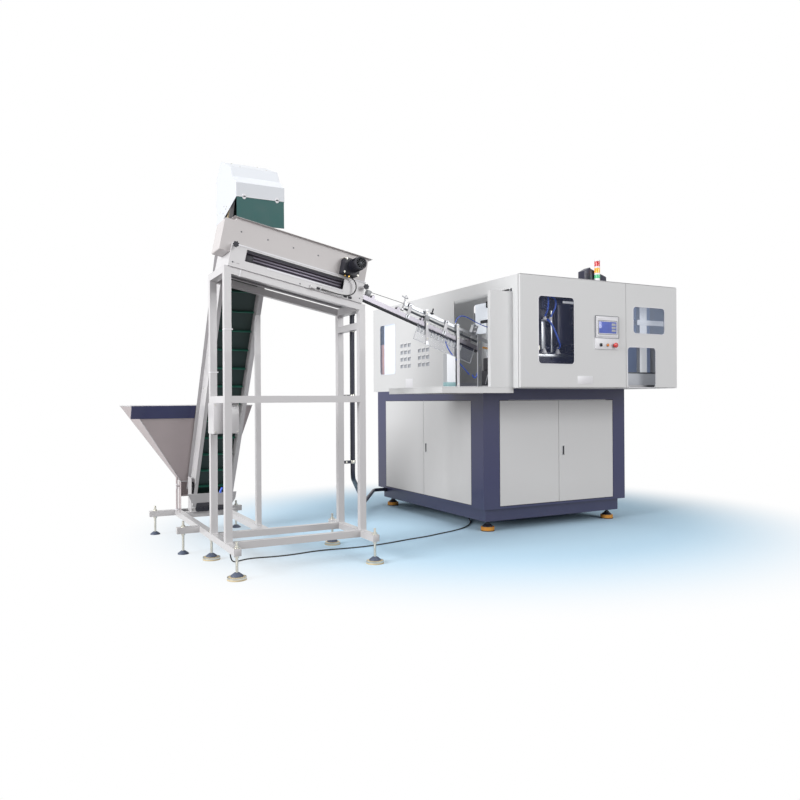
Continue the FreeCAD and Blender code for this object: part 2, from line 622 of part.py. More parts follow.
def cabinet_door(side, low, high, hinge_low):
    """Fold a cabinet door as a tray with a pivot block at both ends of its hinged edge."""
    face = BASE_FRONT
    foot, head = SILL + " + door_gap", LINTEL + " - door_gap"
    depth = (face, face + " + door_deep")
    tray = box(*on_face(side, (low, high), depth, (foot, head)))
    hollow = box(*on_face(side, (low + " + sheet", high + " - sheet"),
                          (face + " + sheet", face + " + door_deep + %d" % PAST),
                          (foot + " + sheet", head + " - sheet")))
    across = (low, low + " + pivot_block") if hinge_low else (high + " - pivot_block", high)
    blocks = [box(*on_face(side, across, depth, (foot, foot + " + pivot_block"))),
              box(*on_face(side, across, depth, (head + " - pivot_block", head)))]
    along = low + " + pivot_in" if hinge_low else high + " - pivot_in"
    bore = "pin_radius + running_gap"
    bores = [pivot(side, along, bore, (foot + " - %d" % PAST, foot + " + pin_reach + %d" % PAST)),
             pivot(side, along, bore, (head + " - pin_reach - %d" % PAST, head + " + %d" % PAST))]
    return cut(fuse(cut(tray, hollow), *blocks), *bores)


def pivot_pins(side, along):
    """Make the two pins that a cabinet door turns on."""
    return [pivot(side, along, "pin_radius", (SILL, SILL + " + door_gap + pin_reach")),
            pivot(side, along, "pin_radius", (LINTEL + " - door_gap - pin_reach", LINTEL))]


def latched(door, side, along):
    """Set the housing, recess and pivot of a paddle latch into a cabinet door."""
    face = BASE_FRONT
    half = "latch_wide / 2"
    foot = "latch_up - latch_tall / 2"
    head = "latch_up + latch_tall / 2"
    housing = box(*on_face(side, about(along, half + " + fixed_gap + sheet"), (face, face + " + door_deep"),
                           (foot + " - latch_room - sheet", head + " + fixed_gap + sheet")))
    recess = box(*on_face(side, about(along, half + " + fixed_gap"),
                          (face + " - %d" % PAST, face + " + latch_recess"),
                          (foot + " - latch_room", head + " + fixed_gap")))
    pin = latch_axis(side, along, "latch_pin", about(along, half + " + fixed_gap"))
    return fuse(cut(fuse(door, housing), recess), pin)


def latch_axis(side, along, radius, span):
    """Make a cylinder along the level pivot of a latch paddle."""
    inward = BASE_FRONT + " - latch_proud + latch_thick / 2"
    centre = (inward, "latch_up - latch_tall / 2 + latch_foot")
    return rod("x" if side == "front" else "y", centre, radius, span)


def latch(side, along):
    """Make a latch paddle with the bore of its pivot and a finger hollow at its top."""
    face = BASE_FRONT
    half = "latch_wide / 2"
    foot = "latch_up - latch_tall / 2"
    head = "latch_up + latch_tall / 2"
    inward = (face + " - latch_proud", face + " - latch_proud + latch_thick")
    paddle = box(*on_face(side, about(along, half), inward, (foot, head)))
    bore = latch_axis(side, along, "latch_pin + running_gap", about(along, half + " + %d" % PAST))
    finger = box(*on_face(side, about(along, half + " - sheet"),
                          (face + " + sheet", face + " + latch_thick"), (head + " - latch_wide", head)))
    return cut(paddle, bore, finger)


def base_frame():
    """Weld the plinth, posts and rails of the cabinet, with the pins of its doors."""
    outer = box((BASE_LEFT, BASE_RIGHT), (BASE_FRONT, BASE_BACK), ("plinth_top", "base_top"))
    cavity = box((BASE_LEFT + " + post_deep", BASE_RIGHT + " - post_deep"),
                 (BASE_FRONT + " + post_deep", BASE_BACK + " - post_deep"),
                 ("plinth_top - %d" % PAST, "base_top + %d" % PAST))
    through_y = box(FRONT_OPEN, (BASE_FRONT + " - %d" % PAST, BASE_BACK + " + %d" % PAST), (SILL, LINTEL))
    through_x = box((BASE_LEFT + " - %d" % PAST, BASE_RIGHT + " + %d" % PAST), SIDE_OPEN, (SILL, LINTEL))
    plinth = box(("0", "base_wide - 2 * plinth_inset"), ("0", "base_deep - 2 * plinth_inset"),
                 ("plinth_low", "plinth_top"))
    well = box(("plinth_wall", "base_wide - 2 * plinth_inset - plinth_wall"),
               ("plinth_wall", "base_deep - 2 * plinth_inset - plinth_wall"),
               ("plinth_low - %d" % PAST, "plinth_top - bottom_rail"))
    pins = []
    for along in (FRONT_OPEN[0] + " + door_gap + pivot_in", FRONT_OPEN[1] + " - door_gap - pivot_in"):
        pins += pivot_pins("front", along)
    for along in (SIDE_OPEN[0] + " + door_gap + pivot_in", SIDE_OPEN[1] + " - door_gap - pivot_in"):
        pins += pivot_pins("left", along)
    frame = cut(outer, cavity, through_y, through_x)
    return fuse(frame, cut(plinth, well), *pins)


def damping_foot(x, y):
    """Stack the rubber, cap and stud of one damping foot."""
    rubber = rod("z", (x, y), "foot_radius", ("0", "foot_rubber"))
    cap = doc.addObject("Part::Cone", "Cap")
    cap.setExpression("Radius1", bound("foot_shoulder"))
    cap.setExpression("Radius2", bound("foot_neck"))
    cap.setExpression("Height", bound("foot_cap"))
    cap.setExpression("Placement.Base", bound("vector(%s; %s; foot_rubber)" % (x, y)))
    stud = rod("z", (x, y), "foot_stud", ("foot_rubber", "plinth_low"))
    return fuse(rubber, cap, stud)


node("base_frame", base_frame())
node("machine_feet", *[damping_foot(x, y)
                       for x in ("foot_inset", "base_wide - 2 * plinth_inset - foot_inset")
                       for y in ("foot_inset", "base_deep - 2 * plinth_inset - foot_inset")])

front_meet = mid(*FRONT_OPEN)
side_meet = "(%s + side_meet_off)" % mid(*SIDE_OPEN)
left_latch = side_meet + " - door_meet / 2 - latch_off"
front_latch = "(%s) + door_meet / 2 + latch_off" % front_meet
node("left_door_front", latched(cabinet_door("left", SIDE_OPEN[0] + " + door_gap",
                                             side_meet + " - door_meet / 2", True), "left", left_latch))
node("left_door_rear", cabinet_door("left", side_meet + " + door_meet / 2",
                                    SIDE_OPEN[1] + " - door_gap", False))
node("front_door_left", cabinet_door("front", FRONT_OPEN[0] + " + door_gap",
                                     "(%s) - door_meet / 2" % front_meet, True))
node("front_door_right", latched(cabinet_door("front", "(%s) + door_meet / 2" % front_meet,
                                              FRONT_OPEN[1] + " - door_gap", False), "front", front_latch))
node("left_door_latch", latch("left", left_latch))
node("front_door_latch", latch("front", front_latch))

# The panels at the back and the right are screwed in and stay shut
rear_sheet = box((FRONT_OPEN[0] + " + fixed_gap", FRONT_OPEN[1] + " - fixed_gap"),
                 (BASE_BACK + " - sheet", BASE_BACK), (SILL, LINTEL + " - fixed_gap"))
right_sheet = box((BASE_RIGHT + " - sheet", BASE_RIGHT),
                  (SIDE_OPEN[0] + " + fixed_gap", SIDE_OPEN[1] + " - fixed_gap"),
                  (SILL, LINTEL + " - fixed_gap"))
node("base_panels", rear_sheet, right_sheet)


# ---- Upper enclosure ---------------------------------------------------------------------------------

TUBE_LEFT = (ENC_LEFT + " + sheet", ENC_LEFT + " + sheet + frame_tube")
TUBE_RIGHT = (ENC_RIGHT + " - sheet - frame_tube", ENC_RIGHT + " - sheet")
TUBE_FRONT = (PANEL_FRONT, PANEL_FRONT + " + frame_tube")
TUBE_BACK = (ENC_BACK + " - sheet - frame_tube", ENC_BACK + " - sheet")
TUBE_SEAM = about("guard_seam", "frame_tube / 2")
RING = (ENC_TOP + " - sheet - frame_tube", ENC_TOP + " - sheet")
WALL_SPAN = (BED_LOW, ENC_TOP + " - sheet")
GUARD_SPAN = (BED_LOW + " + guard_end", ENC_TOP + " - sheet - guard_end")
GUARD_LINES = (ENC_LEFT + " + guard_pivot", ENC_RIGHT + " - guard_pivot")


def upper_frame():
    """Weld the floor sheet, posts and top ring of the enclosure, with the lower pins of its doors."""
    floor = box((ENC_LEFT, ENC_RIGHT), (ENC_FRONT, ENC_BACK), ("base_top", BED_LOW))
    posts = [box(x, y, (BED_LOW, RING[1])) for x in (TUBE_LEFT, TUBE_RIGHT) for y in (TUBE_FRONT, TUBE_BACK)]
    posts.append(box(TUBE_SEAM, TUBE_FRONT, (BED_LOW, RING[1])))
    bars = [box((TUBE_LEFT[0], TUBE_RIGHT[1]), y, RING) for y in (TUBE_FRONT, TUBE_BACK)]
    bars += [box(x, (TUBE_FRONT[0], TUBE_BACK[1]), RING) for x in (TUBE_LEFT, TUBE_RIGHT)]
    pins = [guard_pin(x, "pin_radius", (BED_LOW, BED_LOW + " + guard_end + pin_reach")) for x in GUARD_LINES]
    return fuse(floor, *posts, *bars, *pins)


def guard_pin(x, radius, span):
    """Make an upright cylinder on the pivot line of a guard door."""
    return rod("z", (x, ENC_FRONT + " + guard_pivot"), radius, span)


def guard_door(low, high, hinge, hinge_low, openings):
    """Fold a guard door as a tray with pivot blocks, cut through by its openings."""
    foot, head = GUARD_SPAN
    depth = (ENC_FRONT, ENC_FRONT + " + guard_deep")
    tray = box((low, high), depth, (foot, head))
    hollow = box((low + " + sheet", high + " - sheet"),
                 (ENC_FRONT + " + sheet", ENC_FRONT + " + guard_deep + %d" % PAST),
                 (foot + " + sheet", head + " - sheet"))
    across = (low, low + " + pivot_block") if hinge_low else (high + " - pivot_block", high)
    blocks = [box(across, depth, (foot, foot + " + pivot_block")),
              box(across, depth, (head + " - pivot_block", head))]
    bore = "pin_radius + running_gap"
    bores = [guard_pin(hinge, bore, (foot + " - %d" % PAST, foot + " + pin_reach + %d" % PAST)),
             guard_pin(hinge, bore, (head + " - pin_reach - %d" % PAST, head + " + %d" % PAST))]
    return cut(fuse(cut(tray, hollow), *blocks), *bores, *openings)


def window_cut(x, z):
    """Make the rounded block that cuts a window through a guard door."""
    block = box(x, (ENC_FRONT + " - %d" % PAST, ENC_FRONT + " + guard_deep + %d" % PAST), z)
    return rounded(block, "y", "corner_round")


def door_pane(x, z):
    """Make a clear pane that laps behind the sheet round a window."""
    return box((x[0] + " - pane_lap", x[1] + " + pane_lap"),
               (ENC_FRONT + " + sheet", ENC_FRONT + " + sheet + pane"),
               (z[0] + " - pane_lap", z[1] + " + pane_lap"))


def louvres(first, rows):
    """Return the slots and the hoods of a group of louvres, three across and some rows high."""
    slots, hoods = [], []
    for column in range(3):
        for row in range(rows):
            y = "%s + louvre_step * %d" % (first, column)
            z = "louvre_low + louvre_rise * %d" % row
            slots.append(box((ENC_LEFT + " - %d" % PAST, ENC_LEFT + " + sheet + %d" % PAST),
                             (y, y + " + louvre_deep"), (z, z + " + louvre_tall")))
            top = z + " + louvre_tall"
            hoods.append(profile("XZ", [(ENC_LEFT, top), (ENC_LEFT + " - louvre_hood", top + " - louvre_hood"),
                                        (ENC_LEFT + " - louvre_hood", top + " - louvre_hood + sheet"),
                                        (ENC_LEFT, top + " + sheet")], (y, y + " + louvre_deep")))
    return slots, hoods


def left_panel():
    """Make the left side sheet with its loading opening, window and louvres."""
    wall = box((ENC_LEFT, ENC_LEFT + " + sheet"), (PANEL_FRONT, ENC_BACK), WALL_SPAN)
    reach = (ENC_LEFT + " - %d" % PAST, ENC_LEFT + " + sheet + %d" % PAST)
    loading = box(reach, ("load_front", "load_front + load_deep"), ("load_low", "load_top"))
    window = rounded(box(reach, SIDE_WINDOW_Y, SIDE_WINDOW_Z), "x", "corner_round")
    slots, hoods = [], []
    rear_group = SIDE_WINDOW_Y[0] + " - louvre_ahead"
    for first, rows in ((rear_group + " - louvre_apart", 3), (rear_group, 4)):
        more_slots, more_hoods = louvres(first, rows)
        slots += more_slots
        hoods += more_hoods
    return fuse(cut(wall, loading, window, *slots), *hoods)


SIDE_WINDOW_Y = (ENC_BACK + " - side_window_in - side_window_deep", ENC_BACK + " - side_window_in")
SIDE_WINDOW_Z = ("side_window_low", "side_window_low + side_window_tall")
FRONT_WINDOW = (("window_left", "window_left + window_wide"), ("window_low", "window_low + window_tall"))
UPPER_LIGHT = (("guard_seam + upper_light_in", ENC_RIGHT + " - upper_light_right"),
               ("upper_light_low", "upper_light_low + upper_light_tall"))
HATCH = (("guard_seam + hatch_in", ENC_RIGHT + " - hatch_right"), (BED_LOW + " - corner_round", "hatch_top"))

node("upper_frame", upper_frame())
node("left_panel", left_panel())
node("rear_cladding", fuse(box((ENC_RIGHT + " - sheet", ENC_RIGHT), (PANEL_FRONT, ENC_BACK), WALL_SPAN),
                           box((ENC_LEFT + " + sheet", ENC_RIGHT), (ENC_BACK + " - sheet", ENC_BACK),
                               WALL_SPAN)))
roof = box((ENC_LEFT, ENC_RIGHT), (ENC_FRONT, ENC_BACK), (ENC_TOP + " - sheet", ENC_TOP))
roof_hole = box((ENC_LEFT + " + roof_open_left", ENC_RIGHT + " - roof_open_right"),
                (ENC_FRONT + " + roof_open_front", ENC_BACK + " - roof_open_back"),
                (ENC_TOP + " - sheet - %d" % PAST, ENC_TOP + " + %d" % PAST))
roof_pins = [guard_pin(x, "pin_radius", (GUARD_SPAN[1] + " - pin_reach", ENC_TOP + " - sheet"))
             for x in GUARD_LINES]
node("roof_panel", fuse(cut(roof, roof_hole), *roof_pins))

GUARD_RIGHT = "guard_seam - guard_meet / 2"
plate_x = ("panel_left", "panel_left + panel_wide")
plate_z = ("panel_low", "panel_low + panel_tall")
node("front_guard_door", guard_door(ENC_LEFT, GUARD_RIGHT, GUARD_LINES[0], True, [window_cut(*FRONT_WINDOW)]))
node("front_window", door_pane(*FRONT_WINDOW))
node("service_door", guard_door("guard_seam + guard_meet / 2", ENC_RIGHT, GUARD_LINES[1], False,
                                [window_cut(*UPPER_LIGHT), window_cut(*HATCH)]))

# Control plate, its screen and the three controls
PLATE_FACE = "(-plinth_inset - front_overhang - panel_thick)"


def stem(x, radius, span):
    """Make a cylinder on the axis of one of the controls."""
    return rod("y", (x, "button_up"), radius, span)


control_plate = rounded(box(plate_x, (PLATE_FACE, ENC_FRONT), plate_z), "y", "panel_thick")
stem_bores = [stem(x, "button_stem + running_gap", (PLATE_FACE + " - %d" % PAST, ENC_FRONT))
              for x in ("switch_across", "start_across", "stop_across")]
screen_x = ("panel_left + screen_in", "panel_left + panel_wide - screen_in")
screen_z = ("screen_low", "screen_low + screen_tall")
housing = box(screen_x, (PLATE_FACE + " - screen_thick", PLATE_FACE), screen_z)
glass = box((screen_x[0] + " + glass_in", screen_x[1] + " - glass_in"),
            (PLATE_FACE + " - screen_thick - %d" % PAST, PLATE_FACE + " - screen_thick + glass_thick"),
            ("screen_low + 2 * glass_in", "screen_low + screen_tall - 2 * glass_in"))
node("control_panel", cut(fuse(control_plate, housing), glass, *stem_bores))
stem_span = (PLATE_FACE + " - button_out", PLATE_FACE + " + button_in")
grip = box(about("switch_across", "grip_wide / 2"),
           (PLATE_FACE + " - 2 * button_out", PLATE_FACE + " - button_out"),
           about("button_up", "grip_tall / 2"))
node("mode_switch", fuse(stem("switch_across", "button_stem", stem_span), grip))
node("start_button", stem("start_across", "button_stem", stem_span))
stop_head = stem("stop_across", "stop_radius",
                 (PLATE_FACE + " - stop_stand - stop_head", PLATE_FACE + " - stop_stand"))
node("emergency_stop", fuse(stem("stop_across", "button_stem",
                                 (PLATE_FACE + " - stop_stand", PLATE_FACE + " + button_in")), stop_head))

# Cowl plate and shelf at the loading opening
shelf = shelled(box(("shelf_left", ENC_LEFT), ("cowl_front", "shelf_back"),
                    ("shelf_top - shelf_tall", "shelf_top")), [DOWN], "sheet")
shelf_notch = box((ENC_LEFT + " - sheet - %d" % PAST, ENC_LEFT + " + %d" % PAST),
                  ("cowl_front + sheet", BASE_FRONT),
                  ("shelf_top - shelf_tall - %d" % PAST, "shelf_top - sheet"))
cowl = shelled(box(("cowl_left", ENC_LEFT), ("cowl_front", "cowl_front + cowl_return"),
                   ("shelf_top", "cowl_top")), [DOWN, REAR, RIGHT], "sheet")
node("loading_cowl", fuse(cut(shelf, shelf_notch), cowl))

# Signal tower and blower on the roof
TOWER = ("tower_across", "tower_back")
tower = [rod("z", TOWER, "tower_radius", (ENC_TOP, ENC_TOP + " + tower_base"))]
for tier in range(3):
    foot = ENC_TOP + " + tower_base + tower_tier * %d" % tier
    tower.append(rod("z", TOWER, "tower_radius - sheet", (foot, foot + " + tower_tier")))
    tower.append(rod("z", TOWER, "tower_radius", (foot + " + tower_tier - tower_cap / 2",
                                                  foot + " + tower_tier + tower_cap / 2")))
node("signal_tower", fuse(*tower))
blower_x = ("blower_left", "blower_left + blower_wide")
node("roof_blower", profile("XZ", [(blower_x[0], ENC_TOP), (blower_x[1], ENC_TOP),
                                   (blower_x[1], ENC_TOP + " + blower_tall"),
                                   (blower_x[0] + " + blower_slope", ENC_TOP + " + blower_tall"),
                                   (blower_x[0], ENC_TOP + " + blower_tall - blower_slope")],
                            ("blower_front", "blower_front + blower_deep")))


# ---- Bed, mould clamp and oven inside the enclosure ---------------------------------------------------

BEAM_Y = about("clamp_mid", "beam_deep / 2")
WAY_TOP = "(beam_top + way_thick)"
PARTING = "(fixed_platen_left - mould_thick)"
OPEN_LEFT = "(fixed_platen_left - 2 * mould_thick - running_gap - clamp_travel - platen_thick)"
PLATEN_TOP = "(beam_top + way_thick + platen_tall)"
TIES = [(y, z) for y in ("clamp_mid - tie_out", "clamp_mid + tie_out")
        for z in (WAY_TOP + " + tie_low", PLATEN_TOP + " - tie_drop")]
RAM = ("clamp_mid", "ram_up")
GUIDES = [PARTING + " - guide_off", PARTING + " + guide_off"]

node("machine_bed", box((ENC_LEFT + " + bed_left", ENC_RIGHT + " - bed_right"),
                        (ENC_FRONT + " + bed_front", ENC_BACK + " - bed_back"), (BED_LOW, BED_TOP)))


def platen(left):
    """Make one plate of the clamp, standing on the guide way."""
    return box((left, left + " + platen_thick"), BEAM_Y, (WAY_TOP, PLATEN_TOP))


def clamp_frame():
    """Build the clamp's beam, guide way, end plates, tie bars, cylinder and carriage guides."""
    beam = box(("beam_left", "beam_left + beam_wide"), BEAM_Y, (BED_TOP, "beam_top"))
    way = box(("rear_plate_left", "fixed_platen_left + platen_thick"), BEAM_Y, ("beam_top", WAY_TOP))
    ties = [rod("x", centre, "tie_radius", ("rear_plate_left", "fixed_platen_left + platen_thick"))
            for centre in TIES]
    guides = [rod("z", (x, "clamp_mid"), "guide_radius", (WAY_TOP, WAY_TOP + " + guide_tall")) for x in GUIDES]
    cylinder = rod("x", RAM, "cylinder_radius", ("rear_plate_left - cylinder_long", "rear_plate_left"))
    bore = rod("x", RAM, "ram_radius + running_gap",
               ("rear_plate_left - cylinder_long + sheet", "rear_plate_left + platen_thick + %d" % PAST))
    body = fuse(beam, way, platen("rear_plate_left"), platen("fixed_platen_left"), cylinder)
    return fuse(cut(body, bore), *ties, *guides)


def moving_platen():
    """Make the platen that rides on the tie bars, with its ram."""
    plate = box((OPEN_LEFT, OPEN_LEFT + " + platen_thick"), BEAM_Y, (WAY_TOP + " + running_gap", PLATEN_TOP))
    bores = [rod("x", centre, "tie_radius + running_gap",
                 (OPEN_LEFT + " - %d" % PAST, OPEN_LEFT + " + platen_thick + %d" % PAST)) for centre in TIES]
    ram = rod("x", RAM, "ram_radius", ("rear_plate_left - ram_inside", OPEN_LEFT))
    return fuse(cut(plate, *bores), ram)


def mould_half(left, parting):
    """Cut the two bottle cavities and their necks into a block, on the parting plane."""
    block = box((left, left + " + mould_thick"), about("clamp_mid", "mould_deep / 2"),
                ("mould_low", "mould_low + mould_tall"))
    cavities = []
    for y in about("clamp_mid", "cavity_off"):
        cavities.append(rod("z", (parting, y), "cavity_radius",
                            ("mould_low + cavity_low", "mould_low + cavity_low + cavity_tall")))
        cavities.append(rod("z", (parting, y), "neck_radius",
                            ("mould_low - %d" % PAST, "mould_low + cavity_low + %d" % PAST)))
    return cut(block, *cavities)


def stretch_carriage():
    """Make the plate that lifts the stretch rods between its two guides."""
    plate = box(about(PARTING, "carriage_reach"), about("clamp_mid", "carriage_deep / 2"),
                ("carriage_low", "carriage_low + carriage_thick"))
    bores = [rod("z", (x, "clamp_mid"), "guide_radius + running_gap",
                 ("carriage_low - %d" % PAST, "carriage_low + carriage_thick + %d" % PAST)) for x in GUIDES]
    rods = [rod("z", (PARTING, y), "rod_radius", ("carriage_low + carriage_thick", "mould_low - sheet"))
            for y in about("clamp_mid", "cavity_off")]
    return fuse(cut(plate, *bores), *rods)


node("clamp_frame", clamp_frame())
node("moving_platen", moving_platen())
node("fixed_mould_half", mould_half(PARTING, PARTING))
MOVING_MOULD = "(%s + platen_thick)" % OPEN_LEFT
node("moving_mould_half", mould_half(MOVING_MOULD, MOVING_MOULD + " + mould_thick"))
node("stretch_carriage", stretch_carriage())

wall_y = ("wall_front", "wall_front + wall_deep")
wall_top = ENC_TOP + " - wall_drop"
wall = box(("wall_across", "wall_across + sheet"), wall_y, (BED_TOP, wall_top))
pass_block = box(("wall_across - %d" % PAST, "wall_across + sheet + %d" % PAST),
                 ("wall_front + pass_front", "wall_front + pass_front + pass_deep"),
                 (wall_top + " - pass_drop - pass_tall", wall_top + " - pass_drop"))
wall_pass = rounded(pass_block, "x", "corner_round")

OVEN_X = ("oven_left", "oven_left + oven_wide")
OVEN_Y = ("oven_front", "oven_front + oven_deep")
node("heating_tunnel", shelled(box(OVEN_X, OVEN_Y, (BED_TOP, BED_TOP + " + oven_tall")), [UP], "oven_wall"))

profile_y = ("profile_front", "profile_front + profile_deep")
profile_x = (ENC_RIGHT + " - profile_in - profile_wide", ENC_RIGHT + " - profile_in")
profile_post = fuse(box(profile_x, profile_y, (BED_TOP, ENC_TOP + " - profile_drop")),
                    box((profile_x[0] + " - cross_past", ENC_RIGHT + " - sheet"), profile_y,
                        ("cross_low", "cross_low + cross_tall")))
kick_plate = box((ENC_RIGHT + " - kick_in - kick_wide", ENC_RIGHT + " - kick_in"),
                 ("profile_front - sheet", "profile_front"), (BED_TOP, "kick_top"))
node("inner_guards", cut(wall, wall_pass), profile_post, kick_plate)


# ---- Feeder stand ------------------------------------------------------------------------------------

STAND_RIGHT = "(stand_left + stand_wide)"
STAND_BACK = "(stand_front + stand_deep)"
POST_LEFT = ("stand_left", "stand_left + tube")
POST_RIGHT = (STAND_RIGHT + " - tube", STAND_RIGHT)
POST_FRONT = ("stand_front", "stand_front + tube")
POST_BACK = (STAND_BACK + " - tube", STAND_BACK)
BASE_Z = ("skid_top - tube", "skid_top")
MID_Z = ("mid_top - tube", "mid_top")
RIGHT_SKID_BACK = "(skid_front + right_skid_deep)"
LEFT_SKID_BACK = "(skid_front + left_skid_deep)"
REAR_BEAM = (LEFT_SKID_BACK + " - tube", LEFT_SKID_BACK)
CENTRE_SKID = ("centre_skid_left", "centre_skid_left + tube")
EL_RIGHT = "(elevator_left + elevator_wide)"


def slope(x, drop):
    """Return the height of the stand's sloping top line at some X, less a drop square to it."""
    return "stand_top - (%s - (stand_left)) * tan(trough_tilt) - (%s) / cos(trough_tilt)" % (x, drop)


def sloping_bar(x, y, top, foot):
    """Make a bar whose top and underside follow the slope of the stand."""
    low, high = x
    return profile("XZ", [(low, slope(low, foot)), (high, slope(high, foot)),
                          (high, slope(high, top)), (low, slope(low, top))], y)


def stand_post(x, y):
    """Make a post from the base beams up to the sloping frame."""
    low, high = x
    return profile("XZ", [(low, "skid_top"), (high, "skid_top"), (high, slope(high, "tube / 2")),
                          (low, slope(low, "tube / 2"))], y)


def cheek_line(y, off):
    """Return the height of a line along the elevator at some Y, set off square to its middle plane."""
    return ("tail_up - (%s) * sin(lean) + (tail_back - (%s) * cos(lean) - (%s)) / tan(lean)" % (off, off, y))


def elevator_foot():
    """Make the bracket that holds the elevator's cheeks above its beam."""
    y = ("foot_start", "foot_start + foot_run")
    plates = [box(("elevator_left - foot_plate", "elevator_left"), y, ("skid_top", "foot_top")),
              box((EL_RIGHT, EL_RIGHT + " + foot_plate"), y, ("skid_top", "foot_top"))]
    base = box(("elevator_left - foot_plate", EL_RIGHT + " + foot_plate"), y,
               ("skid_top", "skid_top + foot_plate"))
    return fuse(base, *plates)


def elevator_leg():
    """Make the upright tube that carries the elevator's cheek half way up."""
    low, high = "leg_back", "leg_back + leg_side"
    top = "cheek_half"
    return profile("YZ", [(low, "skid_top"), (high, "skid_top"), (high, cheek_line(high, top)),
                          (low, cheek_line(low, top))], (EL_RIGHT + " - leg_side", EL_RIGHT))


def stand_frame():
    """Weld the stand of the feeder from square tube."""
    left_skid = box(POST_LEFT, ("skid_front", LEFT_SKID_BACK), BASE_Z)
    right_skid = box(POST_RIGHT, ("skid_front", RIGHT_SKID_BACK), BASE_Z)
    between = (POST_LEFT[0], POST_RIGHT[1])
    ties = [box(between, y, BASE_Z) for y in (POST_FRONT, POST_BACK)]
    ties.append(box(("stub_two_left", "rear_beam_right"), REAR_BEAM, BASE_Z))
    ties.append(box(("stub_one_left", POST_LEFT[1]), ("stub_one_back", "stub_one_back + tube"), BASE_Z))
    ties.append(box((POST_LEFT[0], EL_RIGHT + " + foot_plate + tube"),
                    ("tail_beam_back", "tail_beam_back + tube"), BASE_Z))
    centre = box(CENTRE_SKID, (POST_BACK[0], "tail_beam_back + tube"), BASE_Z)
    posts = [stand_post(x, y) for x in (POST_LEFT, POST_RIGHT) for y in (POST_FRONT, POST_BACK)]
    middle = [box(between, POST_FRONT, MID_Z), box(POST_LEFT, (POST_FRONT[0], POST_BACK[1]), MID_Z),
              box(POST_RIGHT, (POST_FRONT[0], POST_BACK[1]), ("side_tie_top - tube", "side_tie_top"))]
    top = [sloping_bar(between, y, "0", "tube") for y in (POST_FRONT, POST_BACK)]
    top += [sloping_bar(x, (POST_FRONT[0], POST_BACK[1]), "0", "tube") for x in (POST_LEFT, POST_RIGHT)]
    return fuse(left_skid, right_skid, *ties, centre, *posts, *middle, *top, elevator_leg())


def levelling_foot(x, y, padded):
    """Make a levelling foot: cup, stem and nuts under and over its beam, with a pad if it has one."""
    floor = "pad_tall" if padded else "0"
    cup = doc.addObject("Part::Cone", "Cup")
    cup.setExpression("Radius1", bound("cup_radius"))
    cup.setExpression("Radius2", bound("nut_radius"))
    cup.setExpression("Height", bound("cup_tall"))
    cup.setExpression("Placement.Base", bound("vector(%s; %s; %s)" % (x, y, floor)))
    stem = rod("z", (x, y), "stem_radius", (floor + " + cup_tall", BASE_Z[0]))
    nut = rod("z", (x, y), "nut_radius", (BASE_Z[0] + " - nut_tall", BASE_Z[0]))
    pads = [rod("z", (x, y), "pad_radius", ("0", "pad_tall"))] if padded else []
    above = fuse(rod("z", (x, y), "nut_radius", ("skid_top", "skid_top + nut_tall")),
                 rod("z", (x, y), "stem_radius", ("skid_top + nut_tall", "skid_top + stem_over")))
    return fuse(cup, stem, nut, *pads), above


STAND_FEET = [
    (POST_LEFT[0] + " + tube / 2", "skid_front + tube / 2", True),
    (POST_RIGHT[0] + " + tube / 2", "skid_front + tube / 2", True),
    (POST_LEFT[0] + " + tube / 2", STAND_BACK + " + tube", True),
    (POST_RIGHT[0] + " + tube / 2", RIGHT_SKID_BACK + " - tube / 2", True),
    ("stub_one_left + tube", "stub_one_back + tube / 2", False),
    ("stub_two_left + tube", REAR_BEAM[0] + " + tube / 2", False),
    ("rear_beam_right - tube", REAR_BEAM[0] + " + tube / 2", False),
]
node("stand_frame", fuse(stand_frame(), elevator_foot()))
node("stand_feet", *[solid for foot in STAND_FEET for solid in levelling_foot(*foot)])


# ---- Inclined elevator: drawn along Y from the tail drum at the origin, with its return run above -----

ELEVATOR_SEAT = ("0", "tail_back", "tail_up")
ELEVATOR_TURN = ("1; 0; 0", "90 + lean")
WEBS = ("elevator_left + cheek_flange", EL_RIGHT + " - cheek_flange")
CHEEK_Y = ("-cheek_past", "drum_apart + cheek_past")
BELT_X = (WEBS[0] + " + belt_side", WEBS[1] + " - belt_side")
DRUM_X = (WEBS[0] + " + drum_side", WEBS[1] + " - drum_side")
BELT_IN = "(drum_radius + running_gap)"
BELT_OUT = "(drum_radius + running_gap + belt_thick)"
DRUMS = {"tail_drum": "0", "head_drum": "drum_apart"}


def elevator_node(label, *parts):
    """Finish a piece that was drawn along the elevator."""
    node(label, *parts, seat=ELEVATOR_SEAT, turn=ELEVATOR_TURN)


def cheek(web, outward):
    """Fold one channel-shaped side cheek: a web with two flanges that look away from the belt."""
    web_x = (web + " - sheet", web) if outward < 0 else (web, web + " + sheet")
    flange_x = (web + " - cheek_flange", web) if outward < 0 else (web, web + " + cheek_flange")
    plate = box(web_x, CHEEK_Y, ("-cheek_half", "cheek_half"))
    flanges = [box(flange_x, CHEEK_Y, ("-cheek_half", "-cheek_half + sheet")),
               box(flange_x, CHEEK_Y, ("cheek_half - sheet", "cheek_half"))]
    through = (web + " - sheet - %d" % PAST, web + " + sheet + %d" % PAST)
    bores = [rod("x", (y, "0"), "shaft_radius + sheet", through) for y in DRUMS.values()]
    return cut(fuse(plate, *flanges), *bores)


